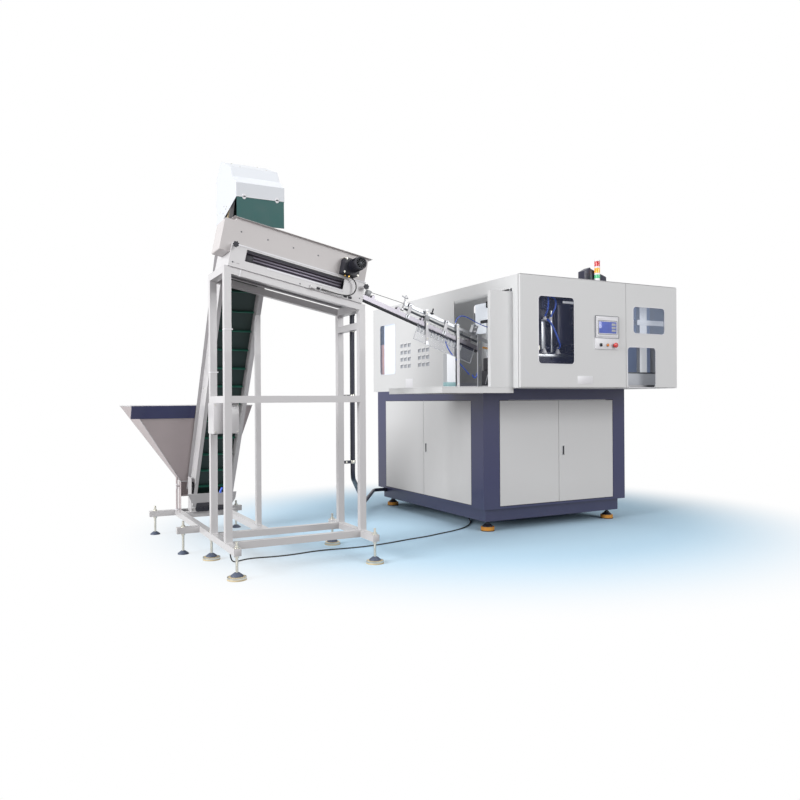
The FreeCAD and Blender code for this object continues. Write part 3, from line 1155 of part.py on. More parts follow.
def elevator_frame():
    """Join the cheeks with the slider bed, the cross ties and the boot's apron."""
    slider_z = BELT_IN + " - slider_gap"
    y = ("drum_radius + 2 * belt_thick", "drum_apart - drum_radius - 2 * belt_thick")
    slider = [box(WEBS, y, (slider_z + " - slider_thick", slider_z)),
              box(WEBS, y, ("-(%s)" % slider_z, "-(%s) + slider_thick" % slider_z))]
    apron = profile("XY", [("apron_left", "apron_up"), ("apron_left + apron_fold", CHEEK_Y[0]),
                           (EL_RIGHT, CHEEK_Y[0]), ("apron_right", CHEEK_Y[0] + " + apron_fold"),
                           ("apron_right", "apron_up")], ("cheek_half", "cheek_half + sheet"))
    return fuse(cheek(WEBS[0], -1), cheek(WEBS[1], 1), *slider, apron)


def belt():
    """Make the endless belt with its cleats on both straight runs."""
    def loop(radius, x):
        runs = box(x, ("0", "drum_apart"), ("-(%s)" % radius, radius))
        return fuse(runs, *[rod("x", (y, "0"), radius, x) for y in DRUMS.values()])
    band = cut(loop(BELT_OUT, BELT_X), loop(BELT_IN, (BELT_X[0] + " - %d" % PAST, BELT_X[1] + " + %d" % PAST)))
    cleats = []
    for number in range(int(size["cleats_a_run"])):
        y = "drum_apart * (%d + 0.5) / cleats_a_run" % number
        outward = ((BELT_OUT + " - belt_thick / 2", BELT_OUT + " + cleat_tall"),
                   ("-(%s) - cleat_tall" % BELT_OUT, "-(%s) + belt_thick / 2" % BELT_OUT))
        cleats += [box(BELT_X, about(y, "cleat_thick / 2"), z) for z in outward]
    return fuse(band, *cleats)


def drum(y):
    """Make a drum with its shaft through both bearings."""
    shell = rod("x", (y, "0"), "drum_radius", DRUM_X)
    shaft = rod("x", (y, "0"), "shaft_radius",
                (WEBS[0] + " - sheet - bearing_thick", WEBS[1] + " + sheet + bearing_thick"))
    return fuse(shell, shaft)


def flange_bearing(y, x):
    """Make a square flange bearing, bored for its shaft."""
    block = rounded(box(x, about(y, "bearing_side / 2"), about("0", "bearing_side / 2")), "x", "pivot_in")
    return cut(block, rod("x", (y, "0"), "shaft_radius + running_gap", x))


elevator_node("elevator_frame", elevator_frame())
elevator_node("elevator_belt", belt())
for drum_name, drum_y in DRUMS.items():
    elevator_node(drum_name, drum(drum_y))
elevator_node("drum_bearings", *[flange_bearing(y, x) for y in DRUMS.values()
                                 for x in ((WEBS[0] + " - sheet - bearing_thick", WEBS[0] + " - sheet"),
                                           (WEBS[1] + " + sheet", WEBS[1] + " + sheet + bearing_thick"))])


# ---- Hood, curtain and hopper ------------------------------------------------------------------------

HOOD_X = ("elevator_left - sheet", EL_RIGHT + " + sheet")
FLAP_LOW = "(hood_foot + hood_flap_lift)"
HOOD_OUTLINE = [("hood_front", FLAP_LOW)]
for hood_run, hood_rise in (("0", "hood_flap_tall"), ("hood_fold_run", "hood_fold_rise"),
                            ("hood_nose_run", "hood_nose_rise"), ("hood_brow_run", "hood_brow_rise"),
                            ("hood_rear_run", "-hood_rear_drop")):
    HOOD_OUTLINE.append((HOOD_OUTLINE[-1][0] + " + " + hood_run, HOOD_OUTLINE[-1][1] + " + " + hood_rise))
HOOD_OUTLINE += [(HOOD_OUTLINE[-1][0], "hood_foot"), ("hood_front + hood_side_run", "hood_foot")]
hood_block = profile("YZ", HOOD_OUTLINE, HOOD_X)
hood_underside = Vector(0, -size["hood_flap_lift"], -size["hood_side_run"])
node("elevator_hood", shelled(hood_block, [DOWN, hood_underside.normalize()], "sheet"))
node("hood_curtain", box(("elevator_left", EL_RIGHT), ("hood_front + sheet",
                                                       "hood_front + sheet + curtain_thick"),
                         (FLAP_LOW + " - curtain_drop", FLAP_LOW + " + curtain_lap")))


def belt_back(height):
    """Return the Y of the hopper's front plane at some height, a gap behind the elevator's cheeks."""
    return ("tail_back + (cheek_half + hopper_gap) / cos(lean) - (%s - tail_up) * tan(lean)" % height)


OUTLET_X = ("outlet_left", "outlet_left + outlet_wide")
OUTLET_Y = (belt_back("hopper_low"), belt_back("hopper_low") + " + outlet_deep")
HOPPER_LEG = (OUTLET_X[0] + " - hopper_leg_off", REAR_BEAM[0] + " + tube / 2")


def hopper():
    """Make the funnel, open above and below, and the boot that stands under its outlet."""
    cone = doc.addObject("Part::Wedge", "Funnel")
    for edge, formula in (("Ymin", "0"), ("Ymax", "hopper_top - hopper_low"),
                          ("Xmin", OUTLET_X[0]), ("Xmax", OUTLET_X[1]),
                          ("Zmin", "-(%s)" % OUTLET_Y[1]), ("Zmax", "-(%s)" % OUTLET_Y[0]),
                          ("X2min", "hopper_left"), ("X2max", "hopper_left + hopper_wide"),
                          ("Z2min", "-(%s + hopper_deep)" % belt_back("hopper_top")),
                          ("Z2max", "-(%s)" % belt_back("hopper_top"))):
        cone.setExpression(edge, bound(formula))
    place = "placement(vector(0; 0; hopper_low); rotation(vector(1; 0; 0); 90))"
    cone.setExpression("Placement", bound(place))
    funnel = shelled(cone, [UP, DOWN], "sheet")
    leg = cut(rod("z", HOPPER_LEG, "hopper_leg_radius", ("skid_top", "hopper_low + hopper_leg_past")), cone)
    link = rod("x", (HOPPER_LEG[1], "hopper_low - hopper_link_drop"), "hopper_leg_radius",
               (HOPPER_LEG[0], OUTLET_X[0] + " + sheet"))
    sides = [box(x, OUTLET_Y, ("skid_top", "hopper_low"))
             for x in ((OUTLET_X[0], OUTLET_X[0] + " + sheet"), (OUTLET_X[1] + " - sheet", OUTLET_X[1]))]
    floor = box(OUTLET_X, ("floor_back", OUTLET_Y[1]), ("outlet_floor", "outlet_floor + sheet"))
    back = box(OUTLET_X, (OUTLET_Y[1] + " - sheet", OUTLET_Y[1]), ("outlet_floor", "hopper_low"))
    return fuse(funnel, *sides, floor, back, leg, link)


node("hopper", hopper())
BOARD_LOW = "hopper_top - board_tall"
node("hopper_rim_board", profile("YZ", [(belt_back(BOARD_LOW) + " - board_thick", BOARD_LOW),
                                        (belt_back(BOARD_LOW), BOARD_LOW),
                                        (belt_back("hopper_top"), "hopper_top"),
                                        (belt_back("hopper_top") + " - board_thick", "hopper_top")],
                                 ("hopper_left + sheet", "elevator_left - 2 * sheet")))


# ---- Roller trough: drawn level along X from the stand's upper left corner ------------------------------

TROUGH_SEAT = ("stand_left", "0", "stand_top")
TROUGH_TURN = ("0; 1; 0", "trough_tilt")
TROUGH_X = ("trough_in", "trough_in + trough_long")
TROUGH_Y = ("trough_front", "trough_front + trough_deep")
ROLLER_AXES = ("trough_front + roller_axis", "trough_front + roller_axis + 2 * roller_radius + roller_space")
EXIT_MID = "(trough_front + roller_axis + roller_radius + roller_space / 2)"
GUARD_X = (TROUGH_X[0] + " + sheet", TROUGH_X[1] + " - sheet")
GUARD_Y = ("trough_front + guard_back", TROUGH_Y[1])
GUARD_Z = ("trough_tall", "trough_tall + guard_tall")
GEARBOX_X = (TROUGH_X[0] + " + gearbox_in", TROUGH_X[0] + " + gearbox_in + gearbox_wide")


def trough_node(label, *parts):
    """Finish a piece that was drawn along the trough."""
    node(label, *parts, seat=TROUGH_SEAT, turn=TROUGH_TURN)


def bearing_block(y, x):
    """Make one bearing block of the rollers, bored for a journal."""
    block = box(x, about(y, "block_side / 2"), about("roller_up", "block_side / 2"))
    return cut(block, rod("x", (y, "roller_up"), "journal_radius + running_gap", x))


def trough_frame():
    """Fold the trough: walls with inward edges, the slot, the exit, bearing blocks and knob studs."""
    body = shelled(box(TROUGH_X, TROUGH_Y, ("0", "trough_tall")), [UP, DOWN], "trough_wall")
    edge_y = ((TROUGH_Y[0], TROUGH_Y[0] + " + trough_ledge"), (TROUGH_Y[1] + " - trough_ledge", TROUGH_Y[1]))
    edges = [box(TROUGH_X, y, z) for y in edge_y
             for z in (("0", "trough_wall"), ("trough_tall - trough_wall", "trough_tall"))]
    slot = box(("slot_in", "slot_in + slot_long"), (TROUGH_Y[0] + " - %d" % PAST,
                                                   TROUGH_Y[0] + " + trough_wall + %d" % PAST),
               ("slot_low", "slot_low + slot_tall"))
    way_out = box((TROUGH_X[1] + " - trough_wall - block_wide - %d" % PAST, TROUGH_X[1] + " + %d" % PAST),
                  about(EXIT_MID, "roller_space / 2"), ("exit_low", "trough_tall + %d" % PAST))
    block_x = ((TROUGH_X[0] + " + trough_wall", TROUGH_X[0] + " + trough_wall + block_wide"),
               (TROUGH_X[1] + " - trough_wall - block_wide", TROUGH_X[1] + " - trough_wall"))
    blocks = [bearing_block(y, x) for y in ROLLER_AXES for x in block_x]
    studs = [rod("y", KNOBS[name], "stud_radius", ("trough_front - knob_stand", "trough_front + trough_wall"))
             for name in KNOBS]
    entry = box((TROUGH_X[0] + " + entry_in", TROUGH_X[0] + " + entry_in + entry_long"),
                ("trough_front - entry_deep", "trough_front"), ("entry_low", "entry_low + entry_tall"))
    return fuse(cut(fuse(body, *edges, *blocks), slot, way_out), entry, *studs)


def roller(y):
    """Make a roller with a journal at each end."""
    body = rod("x", (y, "roller_up"), "roller_radius",
               (TROUGH_X[0] + " + trough_wall + 2 * block_wide",
                TROUGH_X[1] + " - trough_wall - 2 * block_wide"))
    journals = rod("x", (y, "roller_up"), "journal_radius",
                   (TROUGH_X[0] + " + trough_wall + fixed_gap", TROUGH_X[1] + " - trough_wall - fixed_gap"))
    return fuse(body, journals)


def trough_guard():
    """Fold the guard above the rollers, open to the elevator, with its lip and the pocket at its left end."""
    walls = shelled(box(GUARD_X, GUARD_Y, GUARD_Z), [UP, DOWN, REAR], "sheet")
    brim = box((GUARD_X[0] + " - guard_lip", GUARD_X[1] + " + guard_lip"),
               (GUARD_Y[0] + " - guard_lip", GUARD_Y[1]), (GUARD_Z[1] + " - sheet", GUARD_Z[1]))
    mouth = box((GUARD_X[0] + " + sheet", GUARD_X[1] + " - sheet"),
                (GUARD_Y[0] + " + sheet", GUARD_Y[1] + " + %d" % PAST),
                (GUARD_Z[1] + " - sheet - %d" % PAST, GUARD_Z[1] + " + %d" % PAST))
    lip = cut(brim, mouth)
    pocket_block = box((GUARD_X[0] + " - pocket_wide", GUARD_X[0]),
                       (GUARD_Y[0], GUARD_Y[0] + " + pocket_deep"),
                       (GUARD_Z[0] + " - pocket_low", GUARD_Z[1] + " - guard_lip"))
    pocket = shelled(rounded(pocket_block, "y", "pivot_in"), [UP], "sheet")
    beside_trough = box((TROUGH_X[0], GUARD_X[0] + " + %d" % PAST),
                        (GUARD_Y[0], GUARD_Y[0] + " + pocket_deep"),
                        (GUARD_Z[0] + " - pocket_low - %d" % PAST, GUARD_Z[0]))
    return fuse(walls, lip, cut(pocket, beside_trough))


def gearmotor():
    """Join the gearbox on the guard, the motor that looks to the front and its cable gland."""
    foot = "gearbox_low"
    back = GUARD_Y[0]
    case = rounded(box(GEARBOX_X, (back + " - gearbox_deep", back), (foot, foot + " + gearbox_tall")), "y",
                   "pivot_in")
    axis = (GEARBOX_X[0] + " + motor_in", foot + " + motor_up")
    motor = rod("y", axis, "motor_radius", (back + " - gearbox_deep - motor_long", back + " - gearbox_deep"))
    flange = rod("y", axis, "motor_radius + sheet", (back + " - gearbox_deep - gland_long",
                                                    back + " - gearbox_deep"))
    gland_y = back + " - gearbox_deep * 2 / 3"
    gland_x = (GEARBOX_X[0] + " + gland_in", GEARBOX_X[0] + " + gland_in + gland_long")
    gland = rod("x", (gland_y, foot + " - gland_drop"), "gland_radius", gland_x)
    neck = box((gland_x[0], gland_x[0] + " + gland_long / 2"), about(gland_y, "gland_radius / 2"),
               (foot + " - gland_drop", foot))
    return fuse(case, motor, flange, gland, neck)


def star_knob(centre):
    """Make a star knob with seven hollows round its rim, bored for its stud."""
    front = "trough_front - knob_stand"
    disc = rod("y", centre, "knob_radius", (front + " - knob_thick / 3", front + " + knob_thick * 2 / 3"))
    hollows = []
    for lobe in range(7):
        angle = "360 * %d / 7" % lobe
        x = "%s + (knob_radius + knob_scallop / 3) * cos(%s)" % (centre[0], angle)
        z = "%s + (knob_radius + knob_scallop / 3) * sin(%s)" % (centre[1], angle)
        hollows.append(rod("y", (x, z), "knob_scallop", (front + " - knob_thick", front + " + knob_thick")))
    bore = rod("y", centre, "stud_radius + running_gap", (front, front + " + knob_thick"))
    return cut(disc, *hollows, bore)


KNOBS = {"left_star_knob": (TROUGH_X[0] + " + knob_left_in", "knob_left_up"),
         "right_star_knob": (TROUGH_X[1] + " - knob_right_in", "knob_right_up")}

trough_node("trough_frame", trough_frame())
trough_node("trough_guard", trough_guard())
trough_node("front_roller", roller(ROLLER_AXES[0]))
trough_node("rear_roller", roller(ROLLER_AXES[1]))
trough_node("roller_gearmotor", gearmotor())
for knob_name, knob_centre in KNOBS.items():
    trough_node(knob_name, star_knob(knob_centre))


# ---- Chute: drawn level along X from its upper end ----------------------------------------------------

CHUTE_X = "stand_left + (%s) * cos(trough_tilt) + chute_seat * sin(trough_tilt)" % (TROUGH_X[1])
CHUTE_Z = "stand_top - (%s) * sin(trough_tilt) + chute_seat * cos(trough_tilt)" % (TROUGH_X[1])
CHUTE_SEAT = (CHUTE_X, EXIT_MID, CHUTE_Z)
CHUTE_TURN = ("0; 1; 0", "chute_tilt")
RAILS = (("-chute_space / 2 - rail_thick", "-chute_space / 2"),
         ("chute_space / 2", "chute_space / 2 + rail_thick"))
TIE_LEGS = (("-chute_space / 2 - rail_thick", "-chute_space / 2 - rail_thick / 2"),
            ("chute_space / 2 + rail_thick / 2", "chute_space / 2 + rail_thick"))
HANG_TOP = "(guide_up + guide_bar)"
FACE = "(-chute_space / 2 - rail_thick)"


def chute_node(label, *parts):
    """Finish a piece that was drawn along the chute."""
    node(label, *parts, seat=CHUTE_SEAT, turn=CHUTE_TURN)


def chute_rails():
    """Join the two rails by cross ties that arch over the preforms' necks."""
    rails = [box(("0", "chute_long"), y, ("0", "rail_tall")) for y in RAILS]
    ties = []
    for number in range(5):
        x = about("tie_ahead + tie_every * %d" % number, "tie_wide / 2")
        ties += [box(x, y, ("rail_tall", "rail_tall + preform_neck")) for y in TIE_LEGS]
        ties.append(box(x, (RAILS[0][0], RAILS[1][1]), ("rail_tall + preform_neck",
                                                       "rail_tall + preform_neck + tie_thick")))
    return fuse(*rails, *ties)


def chute_guide():
    """Join the top guide, its two hangers on the front rail and the gate's cylinder."""
    guide = box(("guide_start", "guide_start + guide_long"), about("0", "guide_thick / 2"),
                ("guide_up", HANG_TOP))
    parts = [guide]
    for start in ("hanger_first", "hanger_second"):
        x = (start, start + " + hanger_wide")
        parts.append(box(x, (FACE + " - hanger_thick", FACE), ("rail_tall / 3", HANG_TOP)))
        parts.append(box(x, (FACE + " - hanger_thick", "0"), (HANG_TOP, HANG_TOP + " + hanger_thick")))
    gate_y = about("0", "gate_body / 2")
    cylinder = box(("gate_in", "gate_in + gate_body"), gate_y, (HANG_TOP, HANG_TOP + " + gate_long"))
    bore = rod("z", ("gate_in + gate_body / 2", "0"), "gate_rod + running_gap",
               ("guide_up - %d" % PAST, HANG_TOP + " + gate_long - sheet"))
    fitting = rod("z", ("fitting_in", "0"), "fitting_radius", (HANG_TOP, HANG_TOP + " + fitting_tall"))
    return cut(fuse(*parts, cylinder, fitting), bore)


def loading_gate():
    """Make the gate plate that the cylinder lifts out of the preforms' way."""
    x = about("gate_in + gate_body / 2", "gate_thick / 2")
    foot = "(guide_up - gate_travel - gate_tall)"
    plate = box(x, about("0", "chute_space / 2 - fixed_gap"), (foot, foot + " + gate_tall"))
    piston = rod("z", ("gate_in + gate_body / 2", "0"), "gate_rod",
                 (foot + " + gate_tall", HANG_TOP + " + gate_long - gate_travel - 2 * sheet"))
    return fuse(plate, piston)


def preform(x):
    """Make one preform hanging by its ring on the rails: tube, ring and neck."""
    tube = rod("z", (x, "0"), "preform_radius", ("rail_tall - preform_long", "rail_tall"))
    ring = rod("z", (x, "0"), "preform_ring", ("rail_tall", "rail_tall + sheet"))
    neck = rod("z", (x, "0"), "preform_radius", ("rail_tall", "rail_tall + preform_neck - sheet"))
    return fuse(tube, ring, neck)


chute_node("chute_rails", chute_rails())
chute_node("chute_guide", chute_guide())
chute_node("loading_gate", loading_gate())
chute_node("preforms", *[preform("preform_start + preform_every * %d" % number)
                         for number in range(int(size["preform_count"]))])
chute_node("side_guard", box(("side_guard_in", "side_guard_in + side_guard_long"),
                             (FACE + " - side_guard_thick", FACE), ("-side_guard_tall", "rail_tall / 3")))


def under_chute(x, off):
    """Return the height above the floor, at some X, of a line along the chute."""
    return "%s - (%s - (%s)) * tan(chute_tilt) + (%s) / cos(chute_tilt)" % (CHUTE_Z, x, CHUTE_X, off)


GUARD_BACK = "(%s + %s - side_guard_thick)" % (EXIT_MID, FACE)
strap_y = (GUARD_BACK + " - strap_thick", GUARD_BACK)
straps = []
for strap_left, strap_foot in (("strap_first", under_chute("strap_first", "-strap_down")),
                               ("strap_second", "shelf_top")):
    strap_right = strap_left + " + strap_wide"
    straps.append(box((strap_left, strap_right), strap_y,
                      (strap_foot, under_chute(strap_left, "strap_up - rail_tall"))))
post_x = ("chute_post_left", "chute_post_left + chute_post_wide")
post_y = (GUARD_BACK, GUARD_BACK + " + chute_post_deep")
post = profile("XZ", [(post_x[0], "shelf_top"), (post_x[1], "shelf_top"),
                      (post_x[1], under_chute(post_x[1], "-side_guard_tall")),
                      (post_x[0], under_chute(post_x[0], "-side_guard_tall"))], post_y)
end_x = ("end_plate_left", "end_plate_left + end_plate_wide")
end_plate = profile("XZ", [(end_x[0], "shelf_top"), (end_x[1], "shelf_top"),
                           (end_x[1], under_chute(end_x[1], "strap_up - rail_tall")),
                           (end_x[0], under_chute(end_x[0], "strap_up - rail_tall"))],
                    (GUARD_BACK + " - strap_thick", "%s + %s" % (EXIT_MID, FACE)))
node("chute_supports", *straps, post, end_plate)


# ---- Control box and conduit -------------------------------------------------------------------------

control_box = rounded(box(("box_left", "box_left + box_wide"), ("box_front", "box_front + box_deep"),
                          (MID_Z[0] + " - box_tall", MID_Z[0])), "z", "pivot_in")
node("control_box", control_box)


# ---- Conduit, cables and hoses: straight runs joined by tangent arcs -----------------------------------

BEND_SHARE = 0.45  # share of the shorter run that an arc takes on each side of its point
CABLE_LIFT = 5.5  # axis of the floor cable above the floor


def swept(label, points, radius, bend=None):
    """Sweep a round section along a route; bend is one radius for all its turns, or as large as fits."""
    route = [Vector(*point) for point in points]
    edges = []
    radii = []
    start = route[0]
    for before, corner, after in zip(route, route[1:], route[2:]):
        incoming = corner - before
        outgoing = after - corner
        turn = incoming.getAngle(outgoing)
        setback = BEND_SHARE * min(incoming.Length, outgoing.Length)
        if bend:
            setback = bend * math.tan(turn / 2)
        incoming.normalize()
        outgoing.normalize()
        arc_radius = setback / math.tan(turn / 2)
        arc_start = corner - incoming * setback
        arc_end = corner + outgoing * setback
        inward = (outgoing - incoming).normalize()
        middle = corner + inward * (arc_radius / math.cos(turn / 2) - arc_radius)
        edges.append(Part.LineSegment(start, arc_start).toShape())
        edges.append(Part.Arc(arc_start, middle, arc_end).toShape())
        radii.append(arc_radius)
        start = arc_end
    edges.append(Part.LineSegment(start, route[-1]).toShape())
    path = Part.Wire(edges)
    section = Part.Wire(Part.Circle(route[0], route[1] - route[0], radius).toShape())
    tube = path.makePipeShell([section], True, False)
    share = tube.Volume / (math.pi * radius ** 2 * path.Length)
    print("%s: %.0f mm long, radii %s, volume over section times length %.4f"
          % (label, path.Length, [round(arc_radius) for arc_radius in radii], share))
    line = doc.addObject("Part::Feature", "Line")
    line.Shape = tube
    return line


conduit_y = size["stand_front"] + size["stand_deep"] - size["tube"] / 2
conduit_route = [
    (size["conduit_across"], conduit_y, size["conduit_top"]),
    (size["conduit_across"], conduit_y, size["conduit_low"]),
    (size["conduit_turn"], size["conduit_turn_back"], size["conduit_end"]),
    (-size["conduit_reach"], size["conduit_back"], size["conduit_end"]),
    (0, size["conduit_back"], size["conduit_end"]),
]
clips = []
for number in range(3):
    clip_foot = "conduit_low + clip_first + clip_every * %d" % number
    clips.append(box((STAND_RIGHT, "conduit_across"), about(STAND_BACK + " - tube / 2", "clip_tall / 2"),
                     (clip_foot, clip_foot + " + clip_tall")))
pipe = swept("conduit", conduit_route, size["conduit_radius"], size["conduit_bend"])
node("conduit", fuse(pipe, *clips))

MOTOR_CABLE = [
    (-1551.2, -481, 2129), (-1521.8, -481, 2123), (-1490.2, -484, 2088.5), (-1484.9, -487, 2042),
    (-1507.9, -486, 2001.3), (-1550.5, -480, 1981.9), (-1612, -470, 1990), (-1676, -462, 2004),
    (-1738.5, -457, 2021.1), (-1797.2, -457, 2033.1),
]
FLOOR_CABLE = [
    (-2382, -268, 972), (-2382, -268, 850), (-2379, -262, 720), (-2384, -256, 590), (-2380, -249, 470),
    (-2384, -242, 360), (-2381, -236, 265), (-2384, -228, 180), (-2380, -213, 105), (-2366, -185, 47),
    (-2335, -142, 13), (-2285, -88, CABLE_LIFT), (-2210, -48, CABLE_LIFT), (-2125, -46, CABLE_LIFT),
    (-2030, -66, CABLE_LIFT), (-1915, -72, CABLE_LIFT), (-1796, -58, CABLE_LIFT), (-1690, -34, CABLE_LIFT),
    (-1582, -26, CABLE_LIFT), (-1475, -38, CABLE_LIFT), (-1360, -54, CABLE_LIFT), (-1240, -58, CABLE_LIFT),
    (-1124, -46, CABLE_LIFT), (-1000, -24, CABLE_LIFT), (-880, 6, CABLE_LIFT), (-765, 40, CABLE_LIFT),
    (-645, 62, CABLE_LIFT), (-525, 92, CABLE_LIFT), (-405, 138, CABLE_LIFT), (-285, 176, CABLE_LIFT),
    (-165, 222, CABLE_LIFT), (-50, 285, CABLE_LIFT), (50, 368, CABLE_LIFT), (140, 468, CABLE_LIFT),
    (208, 565, CABLE_LIFT), (250, 650, 9), (272, 705, 46), (281, 724, 116), (281, 724, 190),
]
AIR_HOSE = [
    (-433.7, -200, 1857.2), (-422.2, -200, 1890), (-390, -200, 1918), (-345, -200, 1922),
    (-290, -202, 1903), (-225, -203, 1872), (-150, -204, 1845), (-70, -204, 1828), (10, -202, 1824),
    (68, -200, 1832), (120, -200, 1832),
]
node("motor_cable", swept("motor_cable", MOTOR_CABLE, size["motor_cable_radius"]))
node("floor_cable", swept("floor_cable", FLOOR_CABLE, size["floor_cable_radius"]))
node("air_hose", swept("air_hose", AIR_HOSE, size["air_hose_radius"]))


# ---- Check the document and write one file for each piece ---------------------------------------------

doc.recompute()
failed = [thing.Label for thing in doc.Objects if {"Invalid", "Error"} & set(thing.State)]
if failed:
    raise RuntimeError("these did not build: %s" % ", ".join(failed))
unsound = [piece.Label for piece in nodes if piece.Shape.isNull() or not piece.Shape.isValid()]
if unsound:
    raise RuntimeError("these shapes are not sound: %s" % ", ".join(unsound))
os.makedirs("parts", exist_ok=True)
for piece in nodes:
    piece.Shape.exportStep("parts/%s.step" % piece.Label)
print("%d pieces written" % len(nodes))
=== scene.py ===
"""Blow moulding machine with its preform feeder: the finishes, trim, cords and studio round the fixed frame.

Lengths in the pieces are millimetres, taken from the front left corner of the machine's plinth, or along
the feeder's trough, chute or elevator where the piece belongs to one of them.
"""

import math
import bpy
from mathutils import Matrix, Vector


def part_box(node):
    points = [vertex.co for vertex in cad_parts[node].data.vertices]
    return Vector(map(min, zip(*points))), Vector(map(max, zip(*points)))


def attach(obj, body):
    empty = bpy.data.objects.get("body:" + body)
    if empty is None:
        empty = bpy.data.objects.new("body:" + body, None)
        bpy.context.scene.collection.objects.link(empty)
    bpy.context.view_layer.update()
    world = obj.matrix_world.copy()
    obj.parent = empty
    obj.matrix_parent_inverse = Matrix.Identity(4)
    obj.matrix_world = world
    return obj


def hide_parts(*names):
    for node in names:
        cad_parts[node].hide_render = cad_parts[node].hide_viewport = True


bl_info = {
    "name": "Blow Moulding Machine",
    "version": (1, 0, 0),
    "blender": (4, 5, 0),
    "location": "View3D > Sidebar > Machine",
    "description": "Dresses a blow moulding machine and its preform feeder",
    "category": "Object",
}

import bmesh
import bpy
from mathutils import Matrix, Vector

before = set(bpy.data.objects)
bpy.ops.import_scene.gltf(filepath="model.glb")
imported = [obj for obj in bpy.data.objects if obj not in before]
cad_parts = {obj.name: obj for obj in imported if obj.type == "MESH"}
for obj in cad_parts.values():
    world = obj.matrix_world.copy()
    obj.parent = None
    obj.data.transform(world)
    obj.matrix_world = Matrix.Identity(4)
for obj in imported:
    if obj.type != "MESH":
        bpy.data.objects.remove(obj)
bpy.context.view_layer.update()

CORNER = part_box("base_frame")[0] + Vector((0.05, 0.05, 0))
CORNER.z = 0
MACHINE = Matrix.Translation(CORNER) @ Matrix.Scale(0.001, 4)
TROUGH = MACHINE @ Matrix.Translation((-2467, 0, 2152)) @ Matrix.Rotation(math.radians(11.5), 4, "Y")
CHUTE = MACHINE @ Matrix.Translation((-1400.92, -200, 2030.01)) @ Matrix.Rotation(math.radians(19.3), 4, "Y")
BELT_FACE = 0.0815  # outer face of the belt from the middle of its loop, metres
WAVES_A_METRE = 3.5  # slow waves of thin sheet
EYE = (-3.1865, -6.2455, 1.198)  # where the photograph was taken from, metres
DUST_TOP = 0.45  # height up to which dust settles, metres
PALE_MIDDLE, PALE_TO, WHITE_FROM = (1.0, 0.0, 0.0), 1.8, 3.6  # pale patch of the floor, metres
ELEVATOR = MACHINE @ Matrix.Translation((0, 1213, 420)) @ Matrix.Rotation(math.radians(120), 4, "X")


# ---- Sizes and colours that a user may change ---------------------------------------------------------


def shade(code, alpha=1.0):
    """Turn an sRGB hex code into the linear colour that the shaders want."""
    parts = [int(code[place:place + 2], 16) / 255 for place in (1, 3, 5)]
    linear = [part / 12.92 if part <= 0.04045 else ((part + 0.055) / 1.055) ** 2.4 for part in parts]
    return (*linear, alpha)


def colour_choice(label, code, description):
    """Declare a colour that the panel shows."""
    return bpy.props.FloatVectorProperty(name=label, description=description, subtype="COLOR", size=4,
                                         min=0.0, max=1.0, default=shade(code))


class MachineFinishes(bpy.types.PropertyGroup):
    navy: colour_choice("Navy enamel", "#262a55", "Base frame and the hopper's rim board")
    panels: colour_choice("Panel coat", "#d2d3d4", "Doors, enclosure and side sheets")
    stand: colour_choice("Stand coat", "#c3c2c4", "Feeder stand, elevator frame and trough")
    belt: colour_choice("Belt", "#08221f", "Belt of the elevator")
    cleats: colour_choice("Cleats", "#1b5e4e", "Cleats of the elevator's belt")
    curtain: colour_choice("Curtain", "#124e4c", "Curtain of the hood")


class MachineTrim(bpy.types.PropertyGroup):
    bead: bpy.props.FloatProperty(name="Window bead", description="Width of the bead round a window",
                                  default=0.005, min=0.002, max=0.02, unit="LENGTH")
    screw: bpy.props.FloatProperty(name="Screw head", description="Radius of the small screw heads",
                                   default=0.0055, min=0.002, max=0.01, unit="LENGTH")
    tie: bpy.props.FloatProperty(name="Cable tie", description="Width of a cable tie",
                                 default=0.007, min=0.002, max=0.012, unit="LENGTH")


class MachineStudio(bpy.types.PropertyGroup):
    lens: bpy.props.FloatProperty(name="Lens", description="Focal length of the camera, in millimetres",
                                  default=32.8545, min=10.0, max=100.0)
    floor: colour_choice("Floor", "#c2dff2", "Floor round the machine")
    key: bpy.props.FloatProperty(name="Key light", description="Strength of the large lamps",
                                 default=1.0, min=0.0, max=10.0)
    fill: bpy.props.FloatProperty(name="Fill light", description="Strength of the light from all round",
                                  default=0.38, min=0.0, max=3.0)


# ---- Finishes -----------------------------------------------------------------------------------------


def add(tree, kind, inputs, **settings):
    """Add a node with its settings; an input takes a value, or the socket that feeds it."""
    node = tree.nodes.new(kind)
    for name, value in settings.items():
        setattr(node, name, value)
    for name, value in inputs.items():
        if isinstance(value, bpy.types.NodeSocket):
            tree.links.new(value, node.inputs[name])
        else:
            node.inputs[name].default_value = value
    return node


